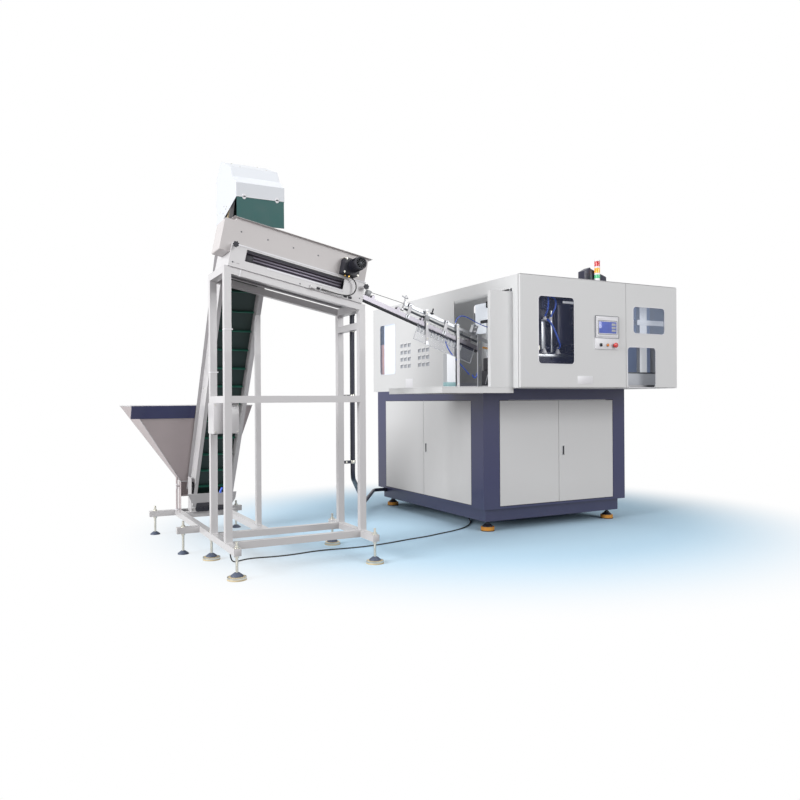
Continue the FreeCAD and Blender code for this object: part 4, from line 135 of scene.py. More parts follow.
def finish(name, colour, rough=0.5, metal=0.0, cloud=0.05, patch=500, grain=6, relief=0.08,
           stretch=(1, 1, 1), sag=0.0, soil=0.0, veins=None, **sockets):
    """Make a finish from slow clouds of colour and gloss and a fine grain; sizes are millimetres.

    patch and grain are the sizes of the clouds and of the grain, relief is the grain's depth, stretch
    draws the grain out, sag is the depth of the slow waves of thin sheet, soil is the share of dust near
    the floor, and veins is a second colour for the darkest clouds. The colour is linear, or an sRGB code.
    """
    made = bpy.data.materials.get(name)
    if made:
        return made
    if isinstance(colour, str):
        colour = shade(colour)
    made = bpy.data.materials.new(name)
    made.use_nodes = True
    tree = made.node_tree
    shader = tree.nodes["Principled BSDF"]
    place = add(tree, "ShaderNodeTexCoord", {}).outputs["Object"]
    slow = add(tree, "ShaderNodeTexNoise", {"Vector": place, "Scale": 1000 / patch,
                                            "Detail": 5.0}).outputs["Fac"]
    along = add(tree, "ShaderNodeMapping", {"Vector": place, "Scale": stretch}).outputs["Vector"]
    fine = add(tree, "ShaderNodeTexNoise", {"Vector": along, "Scale": 1000 / grain,
                                            "Detail": 3.0}).outputs["Fac"]

    darker = (*[part * (1 - cloud) for part in colour[:3]], 1)
    lighter = (*[min(part * (1 + cloud), 1) for part in colour[:3]], 1)
    shown = add(tree, "ShaderNodeMix", {"Factor": slow, "A": veins or darker, "B": lighter},
                data_type="RGBA").outputs["Result"]
    if soil:
        height = add(tree, "ShaderNodeSeparateXYZ", {"Vector": place}).outputs["Z"]
        near = add(tree, "ShaderNodeMapRange", {"Value": height, "From Min": DUST_TOP, "From Max": 0.0,
                                                "To Max": soil}).outputs["Result"]
        dust = add(tree, "ShaderNodeMath", {0: near, 1: slow}, operation="MULTIPLY").outputs["Value"]
        shown = add(tree, "ShaderNodeMix", {"Factor": dust, "A": shown, "B": shade("#8d887c")},
                    data_type="RGBA").outputs["Result"]
    tree.links.new(shown, shader.inputs["Base Color"])
    gloss = add(tree, "ShaderNodeMapRange", {"Value": slow, "To Min": max(rough - 0.07, 0.02),
                                             "To Max": min(rough + 0.07, 1.0)}).outputs["Result"]
    tree.links.new(gloss, shader.inputs["Roughness"])
    skin = add(tree, "ShaderNodeBump", {"Height": fine, "Distance": relief / 1000}).outputs["Normal"]
    if sag:
        waves = add(tree, "ShaderNodeTexNoise", {"Vector": place, "Scale": WAVES_A_METRE,
                                                 "Detail": 0.0}).outputs["Fac"]
        skin = add(tree, "ShaderNodeBump", {"Height": waves, "Distance": sag / 1000,
                                            "Normal": skin}).outputs["Normal"]
    tree.links.new(skin, shader.inputs["Normal"])
    shader.inputs["Metallic"].default_value = metal
    for socket, value in sockets.items():
        shader.inputs[socket.replace("_", " ").title()].default_value = value
    made.diffuse_color = (*colour[:3], 1)
    return made


def belt_finish(name, band, cleats):
    """Make the belt's woven rubber, in a brighter green past the band's own faces, where the cleats are."""
    if name in bpy.data.materials:
        return bpy.data.materials[name]
    made = finish(name, band, rough=0.55, cloud=0.12, patch=160, grain=4, relief=0.3)
    tree = made.node_tree
    shader = tree.nodes["Principled BSDF"]
    place = add(tree, "ShaderNodeTexCoord", {}).outputs["Object"]
    outward = ELEVATOR.to_3x3().col[2].normalized()
    height = add(tree, "ShaderNodeVectorMath", {0: place, 1: outward},
                 operation="DOT_PRODUCT").outputs["Value"]
    off = add(tree, "ShaderNodeMath", {0: height, 1: outward.dot(ELEVATOR.translation)},
              operation="SUBTRACT").outputs["Value"]
    size = add(tree, "ShaderNodeMath", {0: off}, operation="ABSOLUTE").outputs["Value"]
    past = add(tree, "ShaderNodeMath", {0: size, 1: BELT_FACE}, operation="GREATER_THAN").outputs["Value"]
    plain = shader.inputs["Base Color"].links[0].from_socket
    choice = add(tree, "ShaderNodeMix", {"Factor": past, "A": plain, "B": cleats}, data_type="RGBA")
    tree.links.new(choice.outputs["Result"], shader.inputs["Base Color"])
    return made


def finishes():
    """Return every finish by its name."""
    chosen = bpy.context.scene.machine_finishes
    lens = dict(rough=0.18, patch=60, Coat_Weight=0.5)
    return {
        # Sprayed enamel on welded tube: satin, with soft cloudy reflections and dust near the floor
        "navy": finish("sprayed navy enamel", chosen.navy, rough=0.36, cloud=0.07, grain=5, relief=0.06,
                       sag=0.5, soil=0.2, Coat_Weight=0.15),
        # Powder coat on thin sheet: an even light grey whose slow waves break up the reflections
        "panels": finish("light powder coat", chosen.panels, rough=0.46, cloud=0.022, patch=900, grain=4,
                         relief=0.08, sag=1.0, soil=0.15),
        # Glossier pale grey enamel: smooth, with a little dust low down
        "stand": finish("warm white enamel", chosen.stand, rough=0.36, cloud=0.03, patch=400, grain=5,
                        relief=0.06, sag=0.5, soil=0.25, Coat_Weight=0.2),
        # Woven green belting: matt and dark, its cleats a brighter green where they are scuffed
        "belt": belt_finish("woven belt rubber", chosen.belt[:], chosen.cleats[:]),
        # Flexible sheet: semi-gloss green, darker streaks along its hang
        "curtain": finish("flexible green sheet", chosen.curtain, rough=0.55, cloud=0.12, patch=90, grain=9,
                          relief=0.5, stretch=(1, 1, 0.1)),
        # Brushed sheet: long fine lines that stretch the highlights sideways
        "steel": finish("brushed steel", "#a4a4a7", rough=0.34, metal=1.0, cloud=0.08, patch=220,
                        grain=6, relief=0.06, stretch=(0.06, 1, 1), sag=0.4),
        # Ground and plated latch rings: sharp reflections with fine turned lines
        "chrome": finish("ground roller steel", "#cfd0d1", rough=0.17, metal=1.0, cloud=0.05,
                         patch=260, grain=5, relief=0.03, stretch=(1, 0.1, 0.1)),
        # Hard coated rollers: violet grey with fine turned lines round them that dull the reflections
        "roller": finish("hard coated roller", "#77727e", rough=0.32, metal=0.5, cloud=0.1,
                         patch=200, grain=5, relief=0.06, stretch=(1, 0.1, 0.1)),
        # Folded rails of the chute: lilac grey, brushed along their length
        "rails": finish("brushed chute rail", "#86838a", rough=0.36, metal=0.8, cloud=0.1,
                        patch=180, grain=6, relief=0.06, stretch=(0.06, 1, 1)),
        # Enamel of the hopper, in a mauve grey darker than the stand: painted shade of its downward-facing
        # walls, cloudier than the stand
        "hopper": finish("dulled hopper enamel", "#b3a9aa", rough=0.44, cloud=0.08, patch=300,
                         grain=5, relief=0.08, sag=0.8),
        # Rubber-lagged drum: grey and matt
        "drum": finish("lagged drum rubber", "#3e4340", rough=0.65, cloud=0.1, patch=60, grain=8,
                       relief=0.4),
        # Zinc plate on fasteners and studs: bright, a little yellow, patchy
        "zinc": finish("zinc plated steel", "#c6c4bb", rough=0.3, metal=1.0, cloud=0.12, patch=40),
        # Anodised extrusion: soft silver with fine draw lines along its length
        "aluminium": finish("anodised aluminium", "#b6b8bc", rough=0.38, metal=0.85, cloud=0.05,
                            patch=200, grain=5, relief=0.05, stretch=(1, 1, 0.05)),
        # Milled mould block, tinted by its hard coat: dark with a blue cast and cutter lines
        "mould": finish("hard coated mould block", "#3c4258", rough=0.36, metal=0.85, cloud=0.14,
                        patch=120, grain=8, relief=0.1, stretch=(1, 1, 0.15)),
        # Light milled aluminium of plates, manifolds and the cylinder's heads
        "milled": finish("milled aluminium", "#b3b6ba", rough=0.34, metal=0.95, cloud=0.1,
                         patch=90, grain=6, relief=0.06, stretch=(1, 5, 0.3)),
        # Dark enamel on the clamp's castings: satin with an uneven skin
        "dark": finish("dark machine enamel", "#15172f", rough=0.36, cloud=0.1, patch=220, relief=0.15),
        # Moulded black plastic: satin, with a fine spark grain
        "black": finish("moulded black plastic", "#10101c", rough=0.55, cloud=0.1, patch=80, grain=3,
                        relief=0.06),
        # Black enamel on rough castings: glossier, pitted
        "iron": finish("black enamelled casting", "#0a0b1a", rough=0.55, cloud=0.15, patch=70,
                       grain=7, relief=0.35, Coat_Weight=0.1),
        # Moulded rubber: black and dull
        "rubber": finish("moulded black rubber", "#1c1c1c", rough=0.72, cloud=0.15, patch=100),
        # Polyurethane damping foot: amber, waxy
        "amber": finish("amber polyurethane", "#c98b34", rough=0.5, cloud=0.12, patch=90,
                        Subsurface_Weight=0.1, Subsurface_Scale=0.01),
        # Moulded beige pads of the levelling feet
        "pad": finish("moulded beige nylon", "#c9b996", rough=0.58, cloud=0.1, patch=80),
        # Blue-grey moulded cups of the levelling feet
        "cup": finish("moulded blue grey nylon", "#4b5468", rough=0.45, cloud=0.1, patch=70),
        # White acetal blocks and nylon ties: clean and satin
        "white": finish("white acetal", "#dedee2", rough=0.36, cloud=0.03, patch=100),
        # Clear guard sheet: nearly invisible apart from its reflections
        "clear": finish("clear polycarbonate", "#7680a8", rough=0.1, cloud=0.01, relief=0.004,
                        Alpha=0.06),
        # Bluish pane of the doors' windows
        "tinted": finish("bluish polycarbonate", "#aebfdc", rough=0.1, cloud=0.03, relief=0.004,
                         Alpha=0.16),
        # Sheets behind the openings, with painted daylight: an emission makes them glow white, as the
        # daylight reaching them through the machine would
        "lining": finish("daylit white lining", "#e6ebf2", rough=0.6, cloud=0.06, patch=300,
                         Emission_Color=shade("#e6ebf2"), Emission_Strength=0.6),
        # Profiles and sheets inside the right bay, with painted light: an emission makes them brighter than
        # their shade, as the day falling on them would
        "daylit": finish("daylit white profile", "#d6d9dd", rough=0.45, cloud=0.04, patch=200,
                         Emission_Color=shade("#d6d9dd"), Emission_Strength=0.48),
        # Sawn edges of the clear guard: paler than its faces
        "clear_edge": finish("sawn polycarbonate edge", "#d5d9de", rough=0.4, cloud=0.05, patch=60,
                             Alpha=0.45),
        # Kick plate of the right bay: plain grey, with painted light from an emission where the hatch half
        # lights it
        "kick": finish("grey kick plate coat", "#9c9fa5", rough=0.5, cloud=0.04, patch=200,
                       Emission_Color=shade("#9c9fa5"), Emission_Strength=0.4),
        # Bluish sheet behind the right bay, its glow painted light from an emission
        "glowing_inner_sheet": finish("bluish inner sheet", "#8796b4", rough=0.6, cloud=0.2, patch=260,
                       Emission_Color=shade("#8796b4"), Emission_Strength=0.3),
        # Folded guard over the roller trough: a shade greyer than the stand
        "guard": finish("grey white guard enamel", "#bfbbbb", rough=0.4, cloud=0.04, patch=300,
                        grain=5, relief=0.06, sag=0.6),
        # White enamel of the elevator's hood: cleaner than the stand, with soft waves of thin sheet
        "hood": finish("white hood enamel", "#cbcfd5", rough=0.36, cloud=0.02, patch=400, grain=5,
                       relief=0.06, sag=0.6),
        # Moulded preforms: translucent, milky at their necks
        "preform": finish("translucent polyester", "#eef2f3", rough=0.16, cloud=0.03, patch=40,
                          Alpha=0.6),
        # Lit glass of the screen: blue, with paler fields and no lettering
        "screen": finish("lit screen glass", "#4f63b4", rough=0.08, cloud=0.15, patch=45,
                         veins=shade("#39499a"), Coat_Weight=0.4, Emission_Color=shade("#4f63b4"),
                         Emission_Strength=0.15),
        # Light and dark grey mouldings of the small electrical parts
        "grey": finish("light grey moulding", "#a6a9ac", rough=0.45, cloud=0.03, patch=80),
        "slate": finish("dark grey moulding", "#565b62", rough=0.45, cloud=0.06, patch=80),
        # Glossy caps of the buttons
        "orange": finish("orange button cap", "#e0832c", **lens),
        "red": finish("red button cap", "#c51f1c", **lens),
        # Tinted lenses of the tower's lamps: glossy, with a faint glow of their own
        "green_lens": finish("green lens", "#37b072", Emission_Color=shade("#37b072"),
                             Emission_Strength=0.12, **lens),
        "amber_lens": finish("amber lens", "#f0a81c", Emission_Color=shade("#f0a81c"),
                             Emission_Strength=0.08, **lens),
        "red_lens": finish("red lens", "#c41f2a", Emission_Color=shade("#c41f2a"),
                           Emission_Strength=0.05, **lens),
        # Extruded air tube: strong blue, glossy
        "blue_hose": finish("blue air tube", "#2a5cd6", rough=0.28, patch=90, Coat_Weight=0.3),
        # Teal enamel of the chute post's shoe
        "teal": finish("teal enamel", "#86a9ad", rough=0.4, cloud=0.08, patch=60),
        # Rubber sheath of the cables: black, slightly chalky
        "sheath": finish("black cable sheath", "#161616", rough=0.48, cloud=0.15, patch=90, grain=4),
        # Ribbed conduit: dark blue-grey plastic with lilac highlights on its ribs
        "conduit": finish("dark ribbed conduit", "#15182c", rough=0.45, cloud=0.12, patch=120,
                          Coat_Weight=0.1),
        # Copper of the heater's duct, dulled to salmon
        "copper": finish("dull copper", "#d9a596", rough=0.5, metal=0.2, cloud=0.1, patch=80),
        # Turned brass of the glands and fittings
        "brass": finish("turned brass", "#c09a50", rough=0.28, metal=1.0, cloud=0.1, patch=30),
    }


# ---- Modelling helpers --------------------------------------------------------------------------------


def block(bm, low, high, bevel=0.0, rings=2):
    """Add a block between two corners, its edges bevelled, and return its vertices."""
    old = set(bm.verts)
    made = bmesh.ops.create_cube(bm, size=1.0)["verts"]
    bmesh.ops.scale(bm, vec=[b - a for a, b in zip(low, high)], verts=made)
    bmesh.ops.translate(bm, vec=[(a + b) / 2 for a, b in zip(low, high)], verts=made)
    if bevel:
        edges = list({edge for vert in made for edge in vert.link_edges})
        bmesh.ops.bevel(bm, geom=edges, offset=bevel, segments=rings, profile=0.5, affect="EDGES",
                        material=-1)
    return [vert for vert in bm.verts if vert not in old]


def rod(bm, start, end, radius, far=None, sides=24, bevel=0.0):
    """Add a cylinder or a cone between two points."""
    start, end = Vector(start), Vector(end)
    axis = end - start
    place = Matrix.Translation((start + end) / 2) @ axis.to_track_quat("Z", "Y").to_matrix().to_4x4()
    made = bmesh.ops.create_cone(bm, cap_ends=True, segments=sides, radius1=radius,
                                 radius2=radius if far is None else far, depth=axis.length,
                                 matrix=place)["verts"]
    if bevel:
        rims = list({edge for vert in made for edge in vert.link_edges
                     if any(len(face.verts) > 4 for face in edge.link_faces)})
        bmesh.ops.bevel(bm, geom=rims, offset=bevel, segments=2, profile=0.5, affect="EDGES", material=-1)
    return made


def bead(bm, low, high, axis, radius, width):
    """Add a round-cornered band round a window that looks along an axis; a negative width goes outward."""
    made = bmesh.ops.create_cube(bm, size=1.0)["verts"]
    bmesh.ops.scale(bm, vec=[b - a for a, b in zip(low, high)], verts=made)
    bmesh.ops.translate(bm, vec=[(a + b) / 2 for a, b in zip(low, high)], verts=made)
    bmesh.ops.recalc_face_normals(bm, faces=list({face for vert in made for face in vert.link_faces}))
    sides = [edge for edge in {edge for vert in made for edge in vert.link_edges}
             if abs((edge.verts[0].co - edge.verts[1].co).normalized()[axis]) > 0.9]
    ends = [face for face in {face for vert in made for face in vert.link_faces}
            if abs(face.normal[axis]) > 0.9]
    bmesh.ops.delete(bm, geom=ends, context="FACES_ONLY")
    walls = bmesh.ops.bevel(bm, geom=sides, offset=radius, segments=6, profile=0.5, affect="EDGES",
                            material=-1)["faces"]
    ring = set(walls)
    for face in walls:
        ring.update(near for vert in face.verts for near in vert.link_faces)
    bmesh.ops.solidify(bm, geom=list(ring), thickness=width)


def air_line(bm, points, radius=4.0):
    """Add a short rigid air line, its bends rounded by a bevelled wire."""
    wire = bpy.data.curves.new("wire", "CURVE")
    wire.dimensions = "3D"
    spline = wire.splines.new("NURBS")
    spline.points.add(len(points) - 1)
    for point, place in zip(spline.points, points):
        point.co = (*place, 1)
    spline.order_u = 3
    spline.use_endpoint_u = True
    spline.resolution_u = 8
    wire.bevel_depth = radius
    wire.bevel_resolution = 3
    wire.use_fill_caps = True
    holder = bpy.data.objects.new("wire", wire)
    mesh = bpy.data.meshes.new_from_object(holder)
    bm.from_mesh(mesh)
    bpy.data.objects.remove(holder)
    bpy.data.curves.remove(wire)
    bpy.data.meshes.remove(mesh)


def screw(bm, where, outward, radius=4.5, tall=2.4):
    """Add a domed screw head with a sunk socket."""
    where, outward = Vector(where), Vector(outward).normalized()
    made = rod(bm, where, where + outward * tall, radius, radius * 0.7, sides=12)
    caps = [face for face in {face for vert in made for face in vert.link_faces}
            if len(face.verts) > 4 and face.normal.dot(outward) > 0.9]
    bmesh.ops.inset_region(bm, faces=caps, thickness=radius * 0.22)
    bmesh.ops.translate(bm, vec=outward * -tall * 0.6,
                        verts=list({vert for face in caps for vert in face.verts}))


def bolt(bm, where, outward, radius=8.0, tall=6.0):
    """Add a hexagon bolt head on its washer."""
    where, outward = Vector(where), Vector(outward).normalized()
    rod(bm, where, where + outward * 1.5, radius * 1.35, sides=20)
    rod(bm, where + outward * 1.5, where + outward * (1.5 + tall), radius, sides=6, bevel=radius * 0.08)


def piece(name, bm, stuff, body="line", place=MACHINE, smooth=30.0, hides=()):
    """Turn a finished bmesh into a piece that rides on a body and takes its finish's slot."""
    bm.transform(place)
    bmesh.ops.recalc_face_normals(bm, faces=bm.faces)
    mesh = bpy.data.meshes.new(name)
    bm.to_mesh(mesh)
    bm.free()
    made = bpy.data.objects.new(name, mesh)
    bpy.context.scene.collection.objects.link(made)
    mesh.materials.append(finishes()[stuff])
    mesh.polygons.foreach_set("use_smooth", [True] * len(mesh.polygons))
    mesh.set_sharp_from_angle(angle=math.radians(smooth))
    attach(made, body)
    if hides:
        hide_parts(*hides)
    return made


def rows(bm, shape, *measures, **shared):
    """Add one shape for each row of measures, with what all of them share."""
    for row in measures:
        shape(bm, *row, **shared)


def build(name, stuff, shape, *measures, body="line", place=MACHINE, smooth=30.0, hides=(), **shared):
    """Make a piece from one kind of shape, a row of measures for each."""
    bm = bmesh.new()
    rows(bm, shape, *measures, **shared)
    return piece(name, bm, stuff, body=body, place=place, smooth=smooth, hides=hides)


class PieceOperator(bpy.types.Operator):
    """Add a piece to the machine"""

    bl_options = {"REGISTER", "UNDO"}


# ---- Cords --------------------------------------------------------------------------------------------


def cord(name, route, radius, stuff, node):
    """Draw a cord as one smooth NURBS line through its route, whose points are metres from the plinth."""
    line = bpy.data.curves.new(name, "CURVE")
    line.dimensions = "3D"
    spline = line.splines.new("NURBS")
    spline.points.add(len(route) - 1)
    for point, place in zip(spline.points, route):
        point.co = (*(Vector(place) + CORNER), 1)
    spline.order_u = 3
    spline.use_endpoint_u = True
    spline.resolution_u = 10
    line.bevel_depth = radius
    line.bevel_resolution = 4
    line.use_fill_caps = True
    line.materials.append(finishes()[stuff])
    made = bpy.data.objects.new(name, line)
    bpy.context.scene.collection.objects.link(made)
    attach(made, "line")
    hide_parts(node)
    return made


class MACHINE_OT_cords(PieceOperator):
    """Lay the motor cable, the floor cable and the air hose"""

    bl_idname = "machine.cords"
    bl_label = "Cords"

    def execute(self, context):
        motor = [
            (-1.5512, -0.481, 2.129), (-1.5218, -0.481, 2.123), (-1.4902, -0.484, 2.0885),
            (-1.4849, -0.487, 2.042), (-1.5079, -0.486, 2.0013), (-1.5505, -0.48, 1.9819),
            (-1.612, -0.47, 1.99), (-1.676, -0.462, 2.004), (-1.7385, -0.457, 2.0211),
            (-1.7972, -0.457, 2.0331),
        ]
        lift = 0.0055
        floor = [
            (-2.382, -0.268, 0.972), (-2.382, -0.268, 0.85), (-2.379, -0.262, 0.72), (-2.384, -0.256, 0.59),
            (-2.38, -0.249, 0.47), (-2.384, -0.242, 0.36), (-2.381, -0.236, 0.265), (-2.384, -0.228, 0.18),
            (-2.38, -0.213, 0.105), (-2.366, -0.185, 0.047), (-2.335, -0.142, 0.013), (-2.285, -0.088, lift),
            (-2.21, -0.048, lift), (-2.125, -0.046, lift), (-2.03, -0.066, lift), (-1.915, -0.072, lift),
            (-1.796, -0.058, lift), (-1.69, -0.034, lift), (-1.582, -0.026, lift), (-1.475, -0.038, lift),
            (-1.36, -0.054, lift), (-1.24, -0.058, lift), (-1.124, -0.046, lift), (-1.0, -0.024, lift),
            (-0.88, 0.006, lift), (-0.765, 0.04, lift), (-0.645, 0.062, lift), (-0.525, 0.092, lift),
            (-0.405, 0.138, lift), (-0.285, 0.176, lift), (-0.165, 0.222, lift), (-0.05, 0.285, lift),
            (0.05, 0.368, lift), (0.14, 0.468, lift), (0.208, 0.565, lift), (0.25, 0.65, 0.009),
            (0.272, 0.705, 0.046), (0.281, 0.724, 0.116), (0.281, 0.724, 0.19),
        ]
        air = [
            (-0.4337, -0.2, 1.8572), (-0.4222, -0.2, 1.89), (-0.39, -0.2, 1.918), (-0.345, -0.2, 1.922),
            (-0.29, -0.202, 1.903), (-0.225, -0.203, 1.872), (-0.15, -0.204, 1.845), (-0.07, -0.204, 1.828),
            (0.01, -0.202, 1.824), (0.068, -0.2, 1.832), (0.12, -0.2, 1.832),
        ]
        lead = cord("motor_cable_line", motor, 0.0045, "sheath", "motor_cable")
        supply = cord("floor_cable_line", floor, 0.005, "sheath", "floor_cable")
        hose = cord("air_hose_line", air, 0.004, "blue_hose", "air_hose")

        # Tapered strain reliefs where the cables leave the gland, the entry, the box and the hose fitting
        bm = bmesh.new()
        rows(bm, rod, ((-1554, -481, 2129.6), (-1528, -481, 2124.4), 7.5, 5.4),
             ((-1797.2, -457, 2033.1), (-1770, -457, 2027.5), 7.5, 5.4))
        rod(bm, (-2382, -268, 974), (-2382, -268, 962), 13, sides=6, bevel=1)
        rod(bm, (-2382, -268, 962), (-2382, -268, 930), 9.5, 6)
        piece("strain_reliefs", bm, "black")
        bm = bmesh.new()
        rod(bm, (106, -200, 1832), (121, -200, 1832), 8, sides=6, bevel=0.8)
        rod(bm, (98, -200, 1832), (106, -200, 1832), 6)
        piece("hose_nut", bm, "white")
        return {"FINISHED"}


# ---- Finishes on the fixed frame ----------------------------------------------------------------------


class MACHINE_OT_dress_frame(PieceOperator):
    """Give every piece of the fixed frame its finish"""

    bl_idname = "machine.dress_frame"
    bl_label = "Finishes of the frame"

    def execute(self, context):
        worn = {
            "navy": ("base_frame", "hopper_rim_board"),
            "panels": ("left_door_front", "left_door_rear", "front_door_left", "front_door_right",
                       "base_panels", "upper_frame", "left_panel", "rear_cladding", "roof_panel",
                       "front_guard_door", "service_door", "loading_cowl", "inner_guards"),
            "hood": ("elevator_hood",),
            "guard": ("trough_guard",),
            "stand": ("stand_frame", "elevator_frame", "trough_frame",
                      "control_box"),
            "hopper": ("hopper",),
            "rails": ("chute_rails",),
            "belt": ("elevator_belt",),
            "curtain": ("hood_curtain",),
            "steel": ("machine_bed", "stretch_carriage", "heating_tunnel", "loading_gate"),
            "drum": ("tail_drum", "head_drum"),
            "roller": ("front_roller", "rear_roller"),
            "aluminium": ("chute_guide", "chute_supports"),
            "mould": ("fixed_mould_half", "moving_mould_half"),
            "dark": ("clamp_frame", "moving_platen", "roof_blower"),
            "black": ("left_door_latch", "front_door_latch", "left_star_knob", "right_star_knob",
                      "mode_switch"),
            "iron": ("drum_bearings", "roller_gearmotor"),
            "amber": ("machine_feet",),
            "zinc": ("stand_feet",),
            "white": ("signal_tower", "control_panel"),
            "clear": ("front_window", "side_guard"),
            "preform": ("preforms",),
            "orange": ("start_button",),
            "red": ("emergency_stop",),
            "conduit": ("conduit",),
        }
        for stuff, names in worn.items():
            for name in names:
                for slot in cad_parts[name].material_slots:
                    slot.material = finishes()[stuff]
        return {"FINISHED"}


# ---- Windows and doors --------------------------------------------------------------------------------


class MACHINE_OT_windows(PieceOperator):
    """Fit the windows' panes, beads and clips, and the sheets that show through them"""

    bl_idname = "machine.windows"
    bl_label = "Windows"

    def execute(self, context):
        width = context.scene.machine_trim.bead * 1000
        trims = (
            ("front_window_bead", "guard_door", ((140, -602, 1505), (525, -597, 2075)), 1),
            ("upper_light_bead", "service_door", ((1221, -602, 1800), (1614, -597, 2040)), 1),
            ("hatch_bead", "service_door", ((1150, -602, 1307), (1497, -597, 1670)), 1),
            ("side_window_bead", "line", ((-52, 1660, 1495), (-47, 2030, 2050)), 0),
        )
        for name, body, (low, high), axis in trims:
            build(name, "white", bead, (low, high, axis, 30, -width), body=body)
        panes = (
            ("upper_light_pane", "service_door", (1209, -597.5, 1788), (1626, -593.5, 2052)),
            ("side_window_pane", "line", (-47.5, 1648, 1483), (-43.5, 2042, 2062)),
        )
        for name, body, low, high in panes:
            build(name, "tinted", block, (low, high, 1.0), body=body)
        # Sheets behind the side window and the pass opening, glowing white with painted daylight
        build("daylit_linings", "lining", block, ((-30, 1560, 1460), (-26, 1965, 2090), 1),
              ((330, 92, 1842), (334, 640, 2160), 1))
        # Bluish sheet behind the right bay, glowing with painted light
        build("inner_sheet", "glowing_inner_sheet", block, ((1175, -300, 1452), (1745, -296, 2200), 1))
        # Facings of the right bay's profiles, the kick plate under them and the sheet behind the louvres,
        # which glow with painted light
        build("daylit_facings", "daylit", block, ((1463, -443.5, 1450), (1553, -440.5, 2190), 1),
              ((1430, -446, 1898), (1772, -443, 1946), 1))
        build("kick_sheets", "kick", block, ((-38, 892, 1536), (-34, 1560, 1860), 1),
              ((1172, -447, 1333), (1668, -443, 1440), 1.5))
        build("kick_edge", "slate", block, ((1172, -450, 1440), (1668, -442.5, 1452), 1.5))
        # Dark block high in the side window's rear corner: painted shade of the interior there
        build("window_shade_block", "dark", block, ((-26, 1960, 1840), (40, 2100, 2090), 3))
        build("heater_duct", "copper", block, ((-24, 1965, 1460), (38, 2100, 1838), 3))

        # Clips that hold the panes from behind: six on the front window, four on the side window
        bm = bmesh.new()
        for z in (1560, 1790, 2020):
            for x in (122, 543):
                block(bm, (x - 9, -592.5, z - 16), (x + 9, -589.5, z + 16), 1)
                screw(bm, (x, -589.5, z), (0, 1, 0), 4, 3)
        piece("front_window_clips", bm, "zinc", body="guard_door")
        bm = bmesh.new()
        for y, z in ((1640, 1560), (1640, 1980), (2050, 1560), (2050, 1980)):
            block(bm, (-43.5, y - 16, z - 16), (-40.5, y + 16, z + 16), 1)
            screw(bm, (-40.5, y, z), (1, 0, 0), 4, 3)
        piece("side_window_clips", bm, "zinc")
        return {"FINISHED"}


class MACHINE_OT_doors(PieceOperator):
    """Add the latches' rings, the hinges, the seals of the left doors and the bare plates"""

    bl_idname = "machine.doors"
    bl_label = "Door hardware"

    def execute(self, context):
        # Chromed rings round the paddle latches
        build("left_latch_bezel", "chrome", bead, ((-54.5, 968.5, 669), (-49.5, 998.5, 766), 0, 10, 4),
              body="left_door_front")
        build("front_latch_bezel", "chrome", bead, ((847, -54.5, 669), (877, -49.5, 766), 1, 10, 4),
              body="front_door_right")
        # Seals behind the left doors' edges
        seals = (
            ("left_front_seal", "left_door_front", ((-49, 158, 239), (-46.5, 1029.5, 1188)), 0),
            ("left_rear_seal", "left_door_rear", ((-49, 1041.5, 239), (-46.5, 1891, 1188)), 0),
        )
        for name, body, (low, high), axis in seals:
            build(name, "black", bead, (low, high, axis, 6, -9), body=body)

        # A bare plate on the left sheet and one on the guard door, each with four rivets
        for name, body, low, high in (
                ("left_bare_plate", "line", (-51.2, 1258, 1330), (-50, 1417, 1430)),
                ("guard_bare_plate", "guard_door", (562, -601.2, 1334), (734, -600, 1404))):
            bm = bmesh.new()
            block(bm, low, high, 0.4)
            axis = 0 if high[0] - low[0] < 2 else 1
            for across in (low[1 - axis] + 8, high[1 - axis] - 8):
                for up in (low[2] + 8, high[2] - 8):
                    where = [across, across, up]
                    where[axis] = low[axis]
                    outward = [0, 0, 0]
                    outward[axis] = -1
                    rod(bm, where, Vector(where) + Vector(outward) * 1.2, 2.6, 1.6, sides=12)
            piece(name, bm, "white", body=body)

        # Hinge knuckles behind the guard doors' outer edges
        for name, body, x in (("guard", "guard_door", -38), ("service", "service_door", 1763)):
            build(name + "_hinges", "zinc", rod,
                  *(((x, -588, z - 30), (x, -588, z + 30), 7.5) for z in (1420, 1775, 2130)), sides=20,
                  bevel=1, body=body)

        # Door hinges behind the cabinet doors' outer edges
        for name, body, where in (("left_front", "left_door_front", (-41, 163)),
                                  ("left_rear", "left_door_rear", (-41, 1886)),
                                  ("front_left", "front_door_left", (139, -41)),
                                  ("front_right", "front_door_right", (1481, -41))):
            build(name + "_hinges", "zinc", rod,
                  *(((*where, z - 28), (*where, z + 28), 6.5) for z in (400, 713, 1030)), sides=18, bevel=1,
                  body=body)
        return {"FINISHED"}


